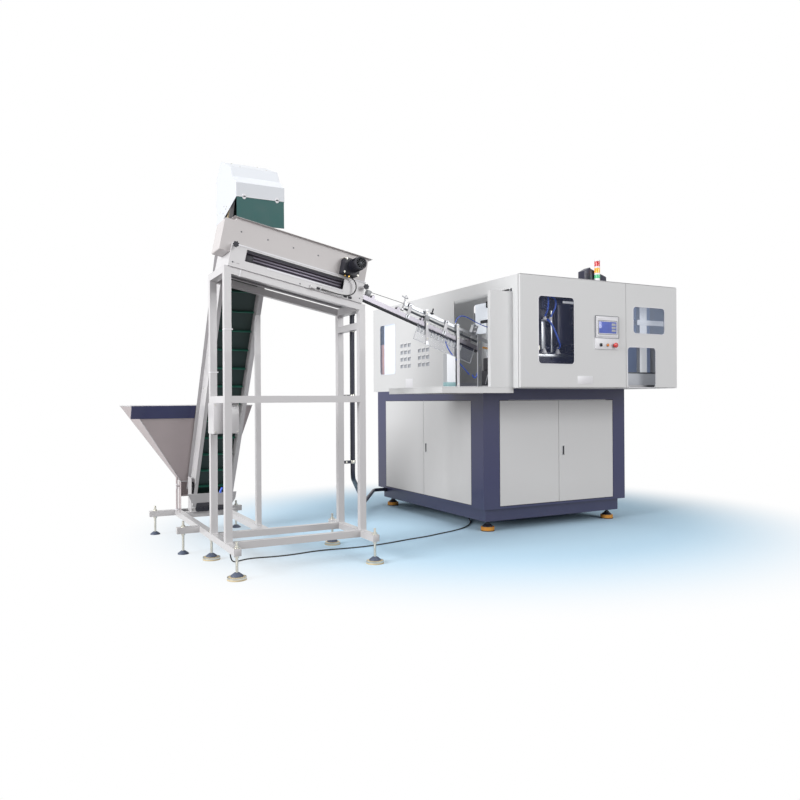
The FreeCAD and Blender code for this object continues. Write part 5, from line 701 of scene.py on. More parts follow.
class MACHINE_OT_control_panel(PieceOperator):
    """Add the control plate's frame, screen, bands and the caps of its controls"""

    bl_idname = "machine.control_panel"
    bl_label = "Control panel"

    def execute(self, context):
        build("panel_frame", "slate", bead, ((762, -611, 1743), (1032, -606, 1935), 1, 7, -4),
              body="guard_door")
        build("panel_bands", "white", block, ((764, -610, 1645), (1030, -608.5, 1742), 0.5),
              ((768, -610, 1917), (1026, -608.5, 1930), 0.5), body="guard_door")
        build("screen_fields", "grey", block,
              *(((944, -616.2, low), (990, -615.3, high), 0.2)
               for low, high in ((1852, 1874), (1826, 1844), (1800, 1818))),
              body="guard_door")
        build("screen_glass", "screen", block, ((795, -615.5, 1784), (999, -613.8, 1886), 0.5),
              body="guard_door")
        build("screen_bezel", "slate", bead, ((788, -617.2, 1777), (1006, -615.5, 1893), 1, 6, -4),
              body="guard_door")
        build("panel_screws", "zinc", screw,
              *(((x, -609, z), (0, -1, 0), 3.2, 2) for x in (769, 1025) for z in (1652, 1706, 1926)),
              body="guard_door")
        build("control_collars", "grey", bead,
              *(((x - 14, -612.5, 1666), (x + 14, -609, 1694), 1, 13.9, -3.5) for x in (819, 899, 977)),
              body="guard_door")

        # Caps: the selector's ring, bar and line, the start button's disc, the stop's mushroom
        bm = bmesh.new()
        rod(bm, (819, -613, 1680), (819, -622, 1680), 13.5, 12, sides=32, bevel=0.9)
        block(bm, (815, -630, 1668), (823, -620, 1692), 1.8)
        piece("selector_cap", bm, "black", body="mode_switch")
        build("selector_line", "white", block, ((818.2, -630.7, 1681), (819.8, -629.9, 1691), 0.2),
              body="mode_switch")
        build("start_cap", "orange", rod, ((899, -616.5, 1680), (899, -622, 1680), 12.5, 11), sides=36,
              bevel=1.2, body="start_button")
        bm = bmesh.new()
        bmesh.ops.create_uvsphere(bm, u_segments=40, v_segments=20, radius=22)
        bmesh.ops.bisect_plane(bm, geom=bm.verts[:] + bm.edges[:] + bm.faces[:], plane_co=(0, 0, 0),
                               plane_no=(0, -1, 0), clear_inner=True)
        bmesh.ops.scale(bm, vec=(1, 0.42, 1), verts=bm.verts)
        bmesh.ops.translate(bm, vec=(977, -636.5, 1680), verts=bm.verts)
        rim = [edge for edge in bm.edges if edge.is_boundary]
        pulled = bmesh.ops.extrude_edge_only(bm, edges=rim)["geom"]
        bmesh.ops.translate(bm, vec=(0, 8, 0), verts=[part for part in pulled
                                                      if isinstance(part, bmesh.types.BMVert)])
        bmesh.ops.holes_fill(bm, edges=[edge for edge in bm.edges if edge.is_boundary])
        piece("stop_cap", bm, "red", body="emergency_stop", smooth=40)
        return {"FINISHED"}


class MACHINE_OT_roof_pieces(PieceOperator):
    """Add the signal tower's lenses and collars, and the blower behind it"""

    bl_idname = "machine.roof_pieces"
    bl_label = "Signal tower and blower"

    def execute(self, context):
        lamps = (("green", 2330, 34), ("amber", 2380, 48), ("red", 2442, 48))
        for name, foot, tall in lamps:
            bm = bmesh.new()
            rod(bm, (1070, -300, foot), (1070, -300, foot + tall), 25.8, sides=48, bevel=1)
            walls = [face for face in bm.faces if abs(face.normal.z) < 0.1]
            bmesh.ops.inset_individual(bm, faces=walls, thickness=0.5, depth=-0.6)
            piece("lamp_" + name, bm, name + "_lens")
        bm = bmesh.new()
        rows(bm, rod, ((1070, -300, 2250), (1070, -300, 2262), 34, 31),
             ((1070, -300, 2262), (1070, -300, 2309), 27.6), sides=40, bevel=1)
        rod(bm, (1070, -300, 2496), (1070, -300, 2503), 27.4, 24, sides=40, bevel=2)
        piece("tower_base_cover", bm, "white")

        # Blower: body on its flange, side grille, sloping outlet cowl and the thin line beside it
        bm = bmesh.new()
        hull = block(bm, (930, -284, 2256), (1005, -194, 2432), 6)
        for vert in hull:
            if vert.co.x < 945 and vert.co.z > 2400:
                vert.co.z -= 34
        cowl = block(bm, (1001, -272, 2256), (1212, -200, 2428), 6)
        for vert in cowl:
            if vert.co.x > 1190 and vert.co.z > 2300:
                vert.co.z -= 66
        piece("blower_body", bm, "dark", hides=("roof_blower",))
        bm = bmesh.new()
        block(bm, (914, -296, 2250), (1222, -184, 2256), 1)
        for x in (922, 1012, 1214):
            for y in (-289, -191):
                bolt(bm, (x, y, 2256), (0, 0, 1), 5.5, 4)
        piece("blower_flange", bm, "dark")
        bm = bmesh.new()
        for row in range(9):
            z = 2274 + row * 12
            block(bm, (940, -286.5, z), (996, -283.5, z + 5), 0.8)
        piece("blower_grille", bm, "iron")
        build("blower_line", "rubber", air_line,
              ([(1208, -230, 2275), (1222, -232, 2275), (1235, -240, 2266), (1250, -255, 2258),
               (1290, -275, 2256), (1330, -300, 2256), (1345, -320, 2252)], 5),
              smooth=60)
        return {"FINISHED"}


# ---- Behind the front window and in the loading bay ---------------------------------------------------


class MACHINE_OT_clamp(PieceOperator):
    """Add the bolts, plates, manifold and air lines of the mould clamp"""

    bl_idname = "machine.clamp"
    bl_label = "Mould clamp"

    def execute(self, context):
        bm = bmesh.new()
        for x, outward in ((1160, 1), (300, -1)):
            for y in (-395, -5):
                for z in (1653, 2100):
                    rod(bm, (x, y, z), (x + outward * 22, y, z), 33, sides=6, bevel=2)
                    rod(bm, (x + outward * 22, y, z), (x + outward * 34, y, z), 17, sides=24, bevel=1)
        piece("tie_bar_nuts", bm, "zinc")
        bm = bmesh.new()
        for y in (-300, -100):
            for z in (1760, 2000):
                bolt(bm, (1160, y, z), (1, 0, 0), 12, 12)
        for x in (150, 400, 650, 900, 1130):
            for y in (-418, 18):
                bolt(bm, (x, y, 1600), (0, 0, 1), 10, 8)
        for x in (140, 420, 700, 980, 1150):
            bolt(bm, (x, -430, 1370), (0, -1, 0), 11, 8)
            bolt(bm, (x, -430, 1560), (0, -1, 0), 11, 8)
        piece("clamp_bolts", bm, "black")
        bm = bmesh.new()
        for z in (1740, 2020):
            for y in (-336, -64):
                rod(bm, (630, y, z), (640, y, z), 9, sides=18, bevel=1)
        block(bm, (577, -437, 1700), (628, -430, 2060), 2)
        for z in (1740, 1880, 2020):
            screw(bm, (602, -437, z), (0, -1, 0), 8, 6)
        piece("moving_platen_plate", bm, "steel", body="moving_platen")
        bm = bmesh.new()
        block(bm, (640, -357, 1712), (805, -350, 2048), 2)
        for x in (655, 790):
            for z in (1730, 1880, 2030):
                screw(bm, (x, -357, z), (0, -1, 0), 7, 5)
        piece("moving_mould_plate", bm, "mould", body="moving_platen")
        bm = bmesh.new()
        block(bm, (932, -357, 1712), (1095, -350, 2048), 2)
        for x in (948, 1080):
            for z in (1730, 1880, 2030):
                screw(bm, (x, -357, z), (0, -1, 0), 7, 5)
        piece("fixed_mould_plate", bm, "mould")

        # Dark round-edged carrier in front of the moving platen, with its bright stops at the right
        build("mould_carrier", "dark", block, ((443, -478, 1683), (608, -430.4, 2048), 14, 4),
              ((452, -481, 1852), (600, -478, 1856), 1), body="moving_platen")
        build("carrier_stops", "milled", block, ((600, -470, 1998), (668, -431, 2016), 3),
              ((628, -462, 1880), (646, -448, 1998), 3), ((612, -448, 1872), (652, -431, 1884), 2),
              body="moving_platen")

        # Bright rail over the carrier, the beam's milled edge, and the post at the carrier's left
        build("clamp_rails", "milled", block, ((104, -434, 1574), (1176, -430, 1598), 1),
              ((412, -428, 1615), (438, -416, 1982), 2), ((303, -436, 1640), (342, -430, 1884), 2))
        # Top rail and its end block in the daylit finish: their brightness is painted light from an emission
        build("top_rail", "daylit", block, ((496, -498, 2044), (1150, -484, 2062), 3),
              ((1110, -484, 2040), (1150, -430.5, 2066), 3))
        bm = bmesh.new()
        for x in (335, 485):
            rod(bm, (x, -428, 1600), (x, -428, 1608), 30, sides=28, bevel=1)
            rod(bm, (x, -428, 1608), (x, -428, 1652), 25, 8, sides=28, bevel=1)
            rod(bm, (x, -428, 1652), (x, -428, 1664), 8, sides=6, bevel=0.6)
        piece("clamp_levellers", bm, "white")

        # Valve manifold on the rear plate with its blue lines and white elbows
        build("valve_manifold", "mould", block, ((304, -462, 1990), (351, -430, 2110), 3),
              *(((308, -486, 1996 + step * 28), (347, -462, 2016 + step * 28), 2) for step in range(4)))
        bm = bmesh.new()
        for x in (322, 382):
            rod(bm, (x - 18, -460, 1902), (x + 10, -460, 1902), 12, sides=24, bevel=2)
            rod(bm, (x, -460, 1902), (x, -460, 1922), 9, sides=6, bevel=1)
        block(bm, (304, -452, 1888), (396, -430, 1898), 2)
        piece("air_elbows", bm, "white")
        build("clamp_air_lines", "blue_hose", air_line,
              ([(327, -486, 2090), (324, -504, 2086), (318, -510, 2040), (320, -496, 1970),
               (322, -462, 1935), (322, -460, 1920)], 8),
              ([(351, -448, 2098), (384, -462, 2102), (412, -490, 2080), (410, -500, 2010),
               (388, -474, 1945), (382, -460, 1920)], 8),
              ([(340, -460, 1900), (352, -490, 1880), (392, -504, 1800), (436, -500, 1715),
               (472, -480, 1668), (485, -450, 1652), (485, -432, 1650)], 8),
              smooth=60)
        return {"FINISHED"}


class MACHINE_OT_loading_bay(PieceOperator):
    """Add the pieces that show in the loading opening and on the shelf"""

    bl_idname = "machine.loading_bay"
    bl_label = "Loading bay"

    def execute(self, context):
        # Folded bright edge of the shelf and of the opening
        build("shelf_edge", "panels", block, ((-751.5, -501.5, 1303), (-50, -498, 1309.5), 1),
              ((-751.5, -501.5, 1303), (-748, 431.5, 1309.5), 1))
        build("opening_edge", "panels", bead, ((-51.5, -455, 1312), (-48.5, 430, 2140), 0, 6, -5))

        # Transfer head behind the opening: dark base, light pipe, arm, amber fingers and hanging clamp
        bm = bmesh.new()
        rows(bm, block, ((56, 20, 1330), (112, 128, 1470), 6), ((62, 36, 1470), (106, 118, 1585), 10, 3),
             ((50, 2, 1905), (72, 140, 1934), 3), ((48, -4, 2040), (78, 48, 2100), 5))
        rod(bm, (63, 22, 2100), (63, 22, 2200), 9, sides=20)
        piece("transfer_base", bm, "iron")
        bm = bmesh.new()
        rod(bm, (54, 60, 1345), (54, 22, 1430), 6, sides=20, bevel=1)
        rod(bm, (84, 70, 1585), (84, 70, 1905), 13, sides=24)
        for z in (1640, 1700, 1740):
            block(bm, (58, 20, z), (84, 96, z + 14), 4)
        piece("transfer_column", bm, "milled")
        build("transfer_fingers", "amber", block,
              *(((46, 12 + step * 34, 1660 + step * 6), (60, 34 + step * 34, 1676 + step * 6), 3)
               for step in range(3)))

        # Inner wall's bright rounded lip
        build("pass_lip", "panels", bead, ((296, 100, 1850), (300, 620, 2145), 0, 30, -8))
        build("pass_header", "panels", block, ((296, 40, 2192), (300, 1012, 2248), 1))
        # Lower blue hose between the chute's post and the transfer head, in two lengths
        build("bay_hoses", "blue_hose", air_line,
              ([(-534, -196, 1712), (-520, -196, 1660), (-470, -194, 1592), (-418, -192, 1540),
               (-360, -192, 1490), (-306, -194, 1436), (-292, -196, 1420)], 5),
              ([(-262, -196, 1420), (-244, -200, 1384), (-222, -200, 1402), (-205, -198, 1450),
               (-186, -190, 1480), (-160, -180, 1500)], 5),
              smooth=60)
        return {"FINISHED"}


class MACHINE_OT_chute(PieceOperator):
    """Add the chute's wear strips, bolts, guide, sensors, mast, gate cylinder and supports' trim"""

    bl_idname = "machine.chute"
    bl_label = "Chute"

    def execute(self, context):
        build("rail_wear_strips", "black", block,
              *(((2, y, -2), (1260, y + 1.4, 9), 0.4) for y in (-23.2, 21.8)),
              ((2, -22, -3), (1260, -12.2, 0), 0.5), ((2, 12.2, -3), (1260, 22, 0), 0.5), place=CHUTE)
        bm = bmesh.new()
        for start in (497, 865):
            for z in (24, 37):
                bolt(bm, (start + 14, -28, z), (0, -1, 0), 4.6, 4)
            bolt(bm, (start + 14, -28, 124), (0, -1, 0), 4.6, 4)
        for along in range(5):
            x = 175 + 240 * along
            for y in (-17, 17):
                bolt(bm, (x, y, 71), (0, 0, 1), 4, 3)
        piece("chute_bolts", bm, "black", place=CHUTE)

        # Sawn edges of the clear side guard
        build("side_guard_edges", "clear_edge", block, ((620, -26.6, -126), (1210, -21.4, -120), 1),
              ((620, -26.6, -126), (626, -21.4, 14), 1), ((1204, -26.6, -126), (1210, -21.4, 14), 1),
              place=CHUTE)

        # White jackets of the two hangers
        bm = bmesh.new()
        for start in (497, 865):
            block(bm, (start - 1, -29.2, 44), (start + 29, -21, 117), 1.2)
            block(bm, (start - 1, -29.2, 135), (start + 29, 2, 143.2), 1.2)
        piece("hanger_jackets", bm, "white", place=CHUTE)

        # Lower guide rod on small clamps, between the top guide and the rails
        bm = bmesh.new()
        rows(bm, rod, ((470, -14, 84), (1240, -14, 84), 5), ((470, 14, 84), (1240, 14, 84), 5), sides=18,
             bevel=1)
        for x in (511, 700, 879, 1060, 1230):
            block(bm, (x - 7, -19, 78), (x + 7, 19, 90), 1.5)
            block(bm, (x - 5, -4, 90), (x + 5, 4, 113), 1)
        piece("lower_guide", bm, "slate", place=CHUTE)

        # Sensor heads: one near the upper end with its thin rod, one at mid length with its reflector
        bm = bmesh.new()
        rows(bm, block, ((108, -21, 53), (150, 21, 98), 4), ((112, -26, 60), (146, -21, 92), 2))
        rod(bm, (129, 0, 45), (129, 0, 54), 9, sides=18, bevel=1)
        rows(bm, block, ((660, -40, 58), (704, -22, 104), 4), ((664, -45, 66), (700, -40, 96), 2))
        piece("sensor_heads", bm, "grey", place=CHUTE)
        bm = bmesh.new()
        rod(bm, (148, -6, 90), (462, -6, 122), 2.2, sides=10)
        rows(bm, rod, ((640, -31, 84), (660, -31, 84), 5), ((704, -31, 80), (742, -31, 76), 4), sides=14,
             bevel=0.6)
        piece("sensor_rods", bm, "black", place=CHUTE)

        # Mast with its short arm at the guide's upper end
        bm = bmesh.new()
        rows(bm, rod, ((452, -12, 62), (452, -12, 190), 6), ((418, -12, 172), (474, -12, 172), 6), sides=16,
             bevel=1)
        rows(bm, block, ((440, -24, 58), (464, 0, 76), 3), ((443, -21, 164), (461, -3, 181), 2.5))
        piece("chute_mast", bm, "steel", place=CHUTE)
        bm = bmesh.new()
        rod(bm, (724, -12, 136), (724, -12, 186), 6, sides=16, bevel=1)
        block(bm, (712, -24, 136), (736, 0, 148), 2.5)
        piece("chute_pin", bm, "black", place=CHUTE)

        # Gate cylinder: heads, tie rods and fittings
        bm = bmesh.new()
        rows(bm, block, ((1137, -25, 136), (1187, 25, 146), 2), ((1137, -25, 196), (1187, 25, 209), 2))
        for x in (1143, 1181):
            for y in (-19, 19):
                rod(bm, (x, y, 146), (x, y, 212), 3, sides=12)
        piece("gate_cylinder_heads", bm, "milled", place=CHUTE)
        bm = bmesh.new()
        for z in (152, 190):
            rod(bm, (1162, -22, z), (1162, -36, z), 7, sides=6, bevel=0.6)
            rod(bm, (1162, -36, z), (1162, -44, z), 5, sides=16, bevel=0.6)
        rod(bm, (970, 0, 146), (970, 0, 158), 9, sides=6, bevel=0.8)
        piece("gate_fittings", bm, "white", place=CHUTE)

        # Faces and bolts of the two straps, the post's shoe and the clear kerb on the shelf
        build("strap_faces", "white", block,
              *(((left - 1, -236, foot), (left + 25, -233.5, top), 0.8)
               for left, top, foot in ((-742, 1942, 1690), (-439, 1836, 1310))))
        build("strap_bolts", "zinc", bolt,
              *(((left + 12, -236, z), (0, -1, 0), 5, 4)
               for left, top, foot in ((-742, 1942, 1690), (-439, 1836, 1310))
               for z in (top - 16, top - 110, foot + 22)),
              *(((-207, -234, z), (0, -1, 0), 5.5, 4) for z in (1352, 1500, 1640, 1700)))
        build("post_shoe", "teal", block, ((-537, -228, 1308), (-449, -164, 1352), 3))
        build("shelf_kerb", "clear", block, ((-449, -222, 1308), (-228, -218, 1346), 1),
              ((-449, -240, 1308), (-228, -218, 1312), 1))
        return {"FINISHED"}


# ---- Feeder -------------------------------------------------------------------------------------------


class MACHINE_OT_trough(PieceOperator):
    """Add the screws, bearings, light strip and small parts of the roller trough"""

    bl_idname = "machine.trough"
    bl_label = "Roller trough"

    def execute(self, context):
        radius = context.scene.machine_trim.screw * 1000
        build("trough_screws", "slate", screw,
              *(((76 + step * 196, -421, 262), (0, -1, 0), radius, 2.4) for step in range(5)),
              *(((1066, -390 + step * 120, 262), (1, 0, 0), radius, 2.4) for step in range(3)),
              *(((x, -443, z), (0, -1, 0), radius, 2.4) for x, z in ((52, 32), (1042, 32), (560, 14))),
              place=TROUGH)

        # White strip along the trough's top edge, a painted highlight where its folded flange catches the
        # light below the guard, and the white strip under the slot
        build("trough_highlight_and_strip", "white", block, ((27, -446, 155), (1067, -443, 165.5), 1),
              ((300, -444.8, 46), (896, -443, 60), 0.6), place=TROUGH)
        build("slot_shade", "black", block, ((137, -439.5, 128), (893, -436, 144), 1),
              ((137, -439, 58), (300, -430, 66), 1), ((110, -382, 40), (920, -378, 160), 1), place=TROUGH)

        # Bearings at both ends of the rollers, and the bank of rollers seen through the slot
        bm = bmesh.new()
        for x in (62, 1010):
            for y in (-250, -150):
                rod(bm, (x, y, 98), (x + 20, y, 98), 30, sides=32, bevel=2)
        block(bm, (136, -424, 64), (196, -330, 116), 8)
        piece("roller_bearings", bm, "black", place=TROUGH)
        build("roller_bank", "roller", rod,
              *(((140, -396, z), (890, -396, z), 11) for z in (68, 91, 114, 137)), sides=28, bevel=1,
              place=TROUGH)
        build("trough_clips", "black", block, *(((x, -444, 30), (x + 20, -441, 32), 0.5) for x in (45, 80)),
              *(((x, -450, 8), (x + 26, -443, 26), 1.5) for x in (910, 950)), place=TROUGH)
        return {"FINISHED"}


class MACHINE_OT_gearmotor(PieceOperator):
    """Finish the gearbox and motor: fan cowl, fins, holes, bolts, gland and cable tie"""

    bl_idname = "machine.gearmotor"
    bl_label = "Gearmotor"

    def execute(self, context):
        bm = bmesh.new()
        axis_x, axis_z = 928, 246
        rod(bm, (axis_x, -600, axis_z), (axis_x, -629, axis_z), 47.5, 45, sides=48, bevel=2.5)
        caps = [face for face in bm.faces if len(face.verts) > 4 and face.calc_center_median().y < -628]
        bmesh.ops.inset_region(bm, faces=caps, thickness=7, depth=-2)
        piece("fan_cowl", bm, "iron", place=TROUGH)
        bm = bmesh.new()
        for step in range(24):
            angle = math.radians(15 * step)
            bar = block(bm, (-1, -598, 45), (1, -536, 50), 0.3)
            bmesh.ops.rotate(bm, cent=(0, 0, 0), matrix=Matrix.Rotation(-angle, 3, "Y"), verts=bar)
            bmesh.ops.translate(bm, vec=(axis_x, 0, axis_z), verts=bar)
        piece("motor_fins", bm, "iron", place=TROUGH)
        bm = bmesh.new()
        for ring in (14, 22, 30):
            for step in range(12):
                angle = math.radians(30 * step)
                x, z = axis_x + ring * math.cos(angle), axis_z + ring * math.sin(angle)
                rod(bm, (x, -626.5, z), (x, -628.2, z), 2.4, sides=8)
        rod(bm, (axis_x, -626.5, axis_z), (axis_x, -629.5, axis_z), 8, 6, sides=20, bevel=0.6)
        piece("fan_holes", bm, "slate", place=TROUGH)
        bm = bmesh.new()
        for x in (858, 966):
            for z in (180, 282):
                bolt(bm, (x, -511, z), (0, -1, 0), 5, 5)
        block(bm, (849, -480, 288), (905, -430, 296), 2)
        piece("gearbox_bolts", bm, "zinc", place=TROUGH)
        bm = bmesh.new()
        rod(bm, (902, -481, 160), (913, -481, 160), 10, sides=6, bevel=1)
        rod(bm, (872, -481, 160), (880, -481, 160), 9, sides=20, bevel=1)
        piece("motor_gland", bm, "brass", place=TROUGH)
        # White tie that holds the cable to the trough
        bm = bmesh.new()
        bead(bm, (712, -466, 6), (718, -446, 26), 0, 6, 2)
        block(bm, (711, -468.5, 13), (719, -465, 20), 1)
        piece("motor_cable_tie", bm, "white", place=TROUGH)
        return {"FINISHED"}


class MACHINE_OT_elevator(PieceOperator):
    """Add the elevator's take-up brackets, bolts, screws, joint plates and flap"""

    bl_idname = "machine.elevator"
    bl_label = "Elevator"

    def execute(self, context):
        # Take-up at the head drum: bracket plate, sliding block, screw and bolts on both cheeks
        for name, web, out in (("left", -2337, -1), ("right", -2043, 1)):
            bm = bmesh.new()
            face = web + out * 6
            low, high = sorted((web, face))
            block(bm, (low, 2420, -62), (high, 2632, 62), 1.5)
            low, high = sorted((face, face + out * 12))
            rows(bm, block, ((low, 2430, -58), (high, 2622, -44), 2),
                 ((low, 2430, 44), (high, 2622, 58), 2), ((low, 2430, -44), (high, 2444, 44), 2))
            rod(bm, (face + out * 8, 2400, 0), (face + out * 8, 2500, 0), 6, sides=16, bevel=1)
            piece(name + "_take_up", bm, "pad", place=ELEVATOR)
            bm = bmesh.new()
            for y in (2436, 2616):
                for z in (-51, 51):
                    bolt(bm, (face + out * 12, y, z), (out, 0, 0), 8, 7)
            for y in (2514, 2566):
                for z in (-30, 30):
                    bolt(bm, (web + out * 24, y, z), (out, 0, 0), 5.5, 5)
            rod(bm, (face + out * 8, 2392, 0), (face + out * 8, 2404, 0), 12, sides=6, bevel=1)
            piece(name + "_take_up_bolts", bm, "black", place=ELEVATOR)

        # Bolts of the lower bearings, and of the slider bed along both cheeks
        build("boot_bolts", "zinc", bolt,
              *(((x, y, z), (out, 0, 0), 6, 5) for x, out in ((-2361, -1), (-2019, 1))
               for y in (-28, 28) for z in (-28, 28)),
              place=ELEVATOR)
        build("cheek_screws", "zinc", screw,
              *(((x, 150 + step * 280, z), (out, 0, 0), 6, 4) for x, out in ((-2337, -1), (-2043, 1))
               for step in range(9) for z in (-71, 71)),
              place=ELEVATOR)

        # Seam plates that join the cheeks' two lengths
        build("cheek_joints", "stand", block,
              *(((low, 1150, -120), (high, 1310, 120), 0.8)
               for low, high in ((-2340, -2337), (-2043, -2040))),
              place=ELEVATOR)

        # Rubber flap between the apron and the belt
        build("boot_flap", "rubber", block, ((-2330, -104, 100), (-2050, -96, 138), 2), place=ELEVATOR)
        return {"FINISHED"}


class MACHINE_OT_hood(PieceOperator):
    """Add the screws, tabs and folded edges of the elevator's hood"""

    bl_idname = "machine.hood"
    bl_label = "Hood"

    def execute(self, context):
        bm = bmesh.new()
        slope = Vector((0, -110, 280)).normalized()
        for x in (-2290, -2090):
            screw(bm, (x, -208, 2918.6), slope, 6, 3)
            screw(bm, (x, 20, 3008.2), slope, 6, 3)
        for y in (-120, 60, 150):
            screw(bm, (-2367, y, 2640), (-1, 0, 0), 5.5, 3)
            screw(bm, (-2013, y, 2640), (1, 0, 0), 5.5, 3)
        piece("hood_screws", bm, "zinc")
        bm = bmesh.new()
        for x in (-2310, -2068):
            rod(bm, (x, -391.5, 2648), (x, -384, 2648), 13, sides=28, bevel=1)
            block(bm, (x - 13, -391.5, 2650), (x + 13, -390, 2672), 0.6)
        piece("curtain_tabs", bm, "white")
        build("hood_hems", "white", block, ((-2367.6, -391.2, 2650), (-2012.4, -389.4, 2654), 0.6),
              ((-2367.6, 188.8, 2560), (-2012.4, 191, 2566), 0.6))
        return {"FINISHED"}


class MACHINE_OT_curtain(PieceOperator):
    """Hang the green curtain in the hood's opening"""

    bl_idname = "machine.curtain"
    bl_label = "Curtain"

    def execute(self, context):
        left, right, top, foot = -2364, -2016, 2710, 2455
        bm = bmesh.new()
        grid = bmesh.ops.create_grid(bm, x_segments=48, y_segments=24, size=0.5)["verts"]
        bmesh.ops.rotate(bm, cent=(0, 0, 0), matrix=Matrix.Rotation(math.pi / 2, 3, "X"), verts=grid)
        bmesh.ops.scale(bm, vec=(right - left, 1, top - foot), verts=grid)
        bmesh.ops.translate(bm, vec=((left + right) / 2, -386.5, (top + foot) / 2), verts=grid)
        for vert in grid:
            hang = (top - vert.co.z) / (top - foot)
            across = (vert.co.x - left) / (right - left)
            vert.co.y -= (1.0 + 3.5 * hang + 1.2 * hang * math.sin(across * 7)
                          + 0.5 * hang * math.sin(across * 17))
        bmesh.ops.solidify(bm, geom=bm.faces[:], thickness=2.5)
        made = piece("curtain_sheet", bm, "curtain", smooth=50, hides=("hood_curtain",))
        return {"FINISHED"}


class MACHINE_OT_stand(PieceOperator):
    """Add the stand's foot pads, cups and threads, end caps, weld seams, ties, junction box and valve"""

    bl_idname = "machine.stand"
    bl_label = "Stand"

    def execute(self, context):
        padded = ((-2442, -630), (-1412, -630), (-2442, 90), (-1412, 190))
        bare = ((-2590, 405), (-2640, 1405), (-1900, 1405))
        bm = bmesh.new()
        for x, y in padded:
            rod(bm, (x, y, 0), (x, y, 12), 66.5, 65, sides=48, bevel=2.5)
            rod(bm, (x, y, 12.5), (x, y, 23), 60, 58, sides=48, bevel=2.5)
        piece("foot_pads", bm, "pad")
        bm = bmesh.new()
        for x, y, z in [(*foot, 23) for foot in padded] + [(*foot, 0) for foot in bare]:
            rod(bm, (x, y, z), (x, y, z + 8), 44, 42.5, sides=40, bevel=1.5)
            rod(bm, (x, y, z + 8), (x, y, z + 27), 42.5, 17, sides=40, bevel=1.5)
        piece("foot_cups", bm, "cup")
        bm = bmesh.new()
        for x, y in padded + bare:
            for turn in range(9):
                rod(bm, (x, y, 227 + turn * 3.4), (x, y, 228.8 + turn * 3.4), 9.7, sides=18)
            for turn in range(20):
                rod(bm, (x, y, 58 + turn * 4.4), (x, y, 60.2 + turn * 4.4), 9.7, sides=18)
            rod(bm, (x, y, 212), (x, y, 214), 22, sides=28, bevel=0.5)
        piece("foot_threads", bm, "zinc")

        # Plastic end caps in the open ends of the tubes
        build("tube_end_caps", "stand", block,
              *(((x - 23, y, 164), (x + 23, y + 1.6, 210), 1.5)
               for x, y in ((-2442, -655.8), (-1412, -655.8))),
              ((-2640.8, 382, 164), (-2639.2, 428, 210), 1.5),
              ((-2690.8, 1382, 164), (-2689.2, 1428, 210), 1.5))

        # Weld seams where the beams meet the posts
        bm = bmesh.new()
        for x in (-2467, -1437):
            for y in (-430, -10):
                near, far = (x, y, 212), (x + 50, y + 50, 212)
                right, back = (x + 50, y, 212), (x, y + 50, 212)
                for start, end in ((near, right), (back, far), (near, back), (right, far)):
                    rod(bm, start, end, 3.2, sides=8)
        for z in (1188, 1238):
            for x in (-2417, -1437):
                rod(bm, (x, -430, z), (x, -380, z), 2.6, sides=8)
        piece("weld_seams", bm, "stand")

        # Cable ties: two round the left posts, one round the front top beam
        tie = context.scene.machine_trim.tie * 1000
        bm = bmesh.new()
        for (x, y), z in (((-2467, -430), 1700), ((-2467, -10), 1415)):
            low, high = (x - 1.5, y - 1.5, z), (x + 51.5, y + 51.5, z + tie)
            bead(bm, low, high, 2, 4, 1.2)
            block(bm, (x + 51, y - 5, z - 1), (x + 59, y + 1, z + tie + 1), 1)
        piece("post_ties", bm, "white")
        bm = bmesh.new()
        bead(bm, (118, -431.5, -51.5), (118 + tie, -378.5, 1.5), 0, 4, 1.2)
        block(bm, (116, -435, -54), (120 + tie, -429, -46), 1)
        piece("beam_tie", bm, "white", place=TROUGH)

        # Black junction box near the elevator's foot, and a blue valve that hangs free of the stand
        bm = bmesh.new()
        rows(bm, block, ((-2330, 1120, 218), (-2190, 1180, 300), 6),
             ((-2150, 1130, 218), (-2060, 1176, 262), 5))
        for x in (-2300, -2260, -2220):
            rod(bm, (x, 1120, 250), (x, 1106, 250), 9, sides=6, bevel=1)
        piece("junction_box", bm, "black")
        build("air_valve", "blue_hose", rod, ((-2290, 420, 460), (-2290, 420, 480), 9),
              ((-2300, 396, 470), (-2282, 396, 506), 8), sides=20, bevel=1)
        return {"FINISHED"}


class MACHINE_OT_hopper(PieceOperator):
    """Add the hopper's rolled rim, corner seams, leg clamp and rim board bolts"""

    bl_idname = "machine.hopper"
    bl_label = "Hopper"

    def execute(self, context):
        corners = [(-2900, 958.4, 1165), (-1870, 958.4, 1165), (-1870, 1698.4, 1165), (-2900, 1698.4, 1165)]
        foot = [(-2420, 1359.7, 470), (-2000, 1359.7, 470), (-2000, 1479.7, 470), (-2420, 1479.7, 470)]
        bm = bmesh.new()
        for here, there in zip(corners, corners[1:] + corners[:1]):
            rod(bm, here, there, 5, sides=12)
        for low, high in zip(foot, corners):
            rod(bm, low, high, 3, sides=8)
        for here, there in zip(foot, foot[1:] + foot[:1]):
            rod(bm, here, there, 4, sides=10)
        piece("hopper_seams", bm, "stand")
        bm = bmesh.new()
        block(bm, (-2456, 1398, 416), (-2418, 1412, 432), 2.5)
        rod(bm, (-2449, 1405, 212), (-2449, 1405, 218), 26, sides=32, bevel=1)
        for z in (408, 440):
            rod(bm, (-2449, 1405, z - 4), (-2449, 1405, z + 4), 13, sides=20, bevel=1)
        piece("hopper_leg_clamp", bm, "white")
        build("rim_board_bolts", "zinc", bolt,
              *(((x, 985, 1112), (0, -math.cos(math.radians(30)), -0.5), 5, 4)
               for x in (-2860, -2620, -2400)))
        return {"FINISHED"}


